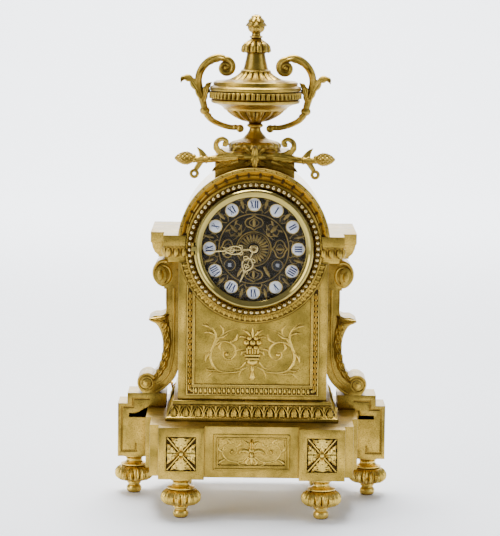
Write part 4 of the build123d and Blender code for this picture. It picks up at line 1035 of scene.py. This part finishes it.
# ---- Crest ----------------------------------------------------------------------------------
# Cast branches pinned to the front of the urn's block.
# Leafed arms end in fir cones, with thorns, curls and pierced drops along them.


def cone(x0, x1, z, y, wide):
    """Fir cone lying along the branch, in rows of scales."""
    n, m = 60, 40
    verts = []
    for i in range(m + 1):
        t = i / m
        r = wide * sin(pi * min(0.98, max(0.02, t ** 0.8))) ** 0.6
        for k in range(n):
            a = 2 * pi * k / n
            scale = abs(sin(5 * a + 13 * t)) * abs(sin(5 * a - 13 * t))
            rr = r * (0.76 + 0.28 * scale ** 0.5)
            verts.append((x0 + (x1 - x0) * t, y + rr * sin(a), z + rr * cos(a)))
    return verts, skin(m + 1, n)


AT = -30.2
branch = [
    tube([(3, 297.6), (20, 296.8), (36, 294.8), (46, 294), (53, 295.2)], (7.6, 6.6, 5.8, 5.4, 5), AT, 0.8, 14),
    leaf([(9, 297.4), (19, 297.2), (29, 296), (37, 294.6)], (4, 8.6, 7.6, 2), AT - 2.2, 1.3, 5, 0.3),
    leaf([(50, 294.8), (44, 294.6), (38, 295.2)], (3, 6.4, 1.4), AT - 1.9, 1.3, 3, 0.3),
    cone(50.2, 66.6, 295.4, AT, 5.6),
    ball(50.6, AT, 295.2, 2.4, 3.2, 3.8), ball(40.2, AT, 294.6, 1.6, 3.1, 3.7),
    tube([(42, 295), (44.6, 300.6), (48.2, 304.6)], (8.4, 4.6, 0.6), AT, 0.5),
    tube([(44, 294), (46.6, 289.8), (49, 286)], (5.4, 4.8, 4.4), AT, 0.6),
    hoop(2.7, 2.8, AT, 1.9, 50.2, 282.6, 32),
    leaf([(20, 294), (28, 290.4), (35.4, 284.8)], (5, 6.4, 1.2), AT - 1, 1.8, 4, 0.3),
    tube([(14, 293.6), (24, 290.4), (32, 286.6)], (5.6, 4.6, 1.6), AT, 0.7, 12),
    tube([(12, 297), (19, 297.4), (26, 299.2), (31.6, 303), (32, 308.6), (27.6, 311.8), (23.4, 309.8),
          (24, 306.4), (27, 306.6)], (5.4, 5.4, 5.2, 4.8, 4.4, 3.9, 3.4, 2.8, 2), AT, 0.8, 12),
    leaf([(20, 297.6), (28, 300.4), (32.4, 305.4), (30.4, 310.6)], (3, 5.6, 5, 1.2), AT - 1.9, 1.2, 4, 0.3),
    ball(25.2, AT, 307.9, 1.9, 1.9, 1.9),
    tube([(8, 298), (9.4, 302.6), (14.2, 304.8), (18, 302.2), (16.2, 299.4)], (2.6, 2.4, 2.2, 1.9, 1.4), AT, 0.9),
    leaf([(3.4, 299), (7.4, 303), (12.4, 303.4)], (2.6, 4.4, 0.8), AT - 1.6, 1.4, 3, 0.3),
    leaf([(2.6, 294), (6.6, 291), (11.6, 290.6)], (2.6, 4.6, 0.8), AT - 1.4, 1.4, 3, 0.3),
]
middle = [
    leaf([(0, 288.6), (0, 293.4), (0, 299.4), (0, 306.4)], (4, 9, 10.4, 1.2), AT - 1, 2, 4, 0.3),
    ball(0, AT - 1.2, 296.6, 3.2, 1.9, 3.6), slab(-5.6, 5.6, -31.4, -26.8, 289, 303, 0.5),
]
build("crest_branches", both(branch) + middle, gilt, instead_of=["crest_mount"])

# ---- Roof, back and inside ------------------------------------------------------------------
# The barrel roof is sheet, planished and burnished, and the back and its door are plain filed brass.
# Movement parts are left as they came from the lathe: brass, steel and bell metal.
burnished = gilding("gilt_polished", (0.86, 0.66, 0.30), (0.76, 0.57, 0.24), (0.36, 0.20, 0.06), 0.20,
                    0.00003, 20, 0.001, 0.15)
plain_brass = gilding("plain_brass", (0.72, 0.53, 0.20), (0.60, 0.44, 0.16), (0.12, 0.07, 0.02), 0.26, 0.00004, 40)
steel = gilding("steel", (0.46, 0.47, 0.50), (0.34, 0.35, 0.38), (0.06, 0.05, 0.045), 0.28, 0.00003, 60)
bell_metal = gilding("bell_metal", (0.62, 0.56, 0.46), (0.50, 0.44, 0.34), (0.10, 0.08, 0.05), 0.22, 0.00004, 40)
squares = [slab(cx - 1.5, cx + 1.5, -42.9, -42.4, WINDING_Z - 1.5, WINDING_Z + 1.5, 0.2)
           for cx in (-WINDING_X, WINDING_X)]
build("winding_squares", squares, steel)
eased("barrel_roof", 0.3, burnished)
eased("rear_panel", 0.3, plain_brass)
eased("rear_door", 0.25, plain_brass, "rear_door")

node_finishes = (
    (glass, ("bezel_glass",)),
    (dial_bronze, ("dial_plate",)),
    (enamel, ("hour_cartouches",)),
    (bezel_brass, ("bezel_frame",)),
    (hand_gilt, ("hour_hand", "minute_hand", "hand_nut")),
    (bell_metal, ("bell",)),
    (steel, ("anchor", "pendulum_rod", "hammer", "foot_nuts")),
    (plain_brass, ("movement_front_plate", "movement_back_plate", "movement_pillars", "movement_straps",
                   "going_barrel", "strike_barrel", "centre_wheel", "third_wheel", "escape_wheel", "minute_wheel",
                   "hour_wheel", "pendulum_bob", "rear_panel", "rear_door", "base_bottom_plate")),
)
for node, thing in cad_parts.items():
    thing.data.materials.clear()
    thing.data.materials.append(next((finish for finish, members in node_finishes if node in members), gilt))
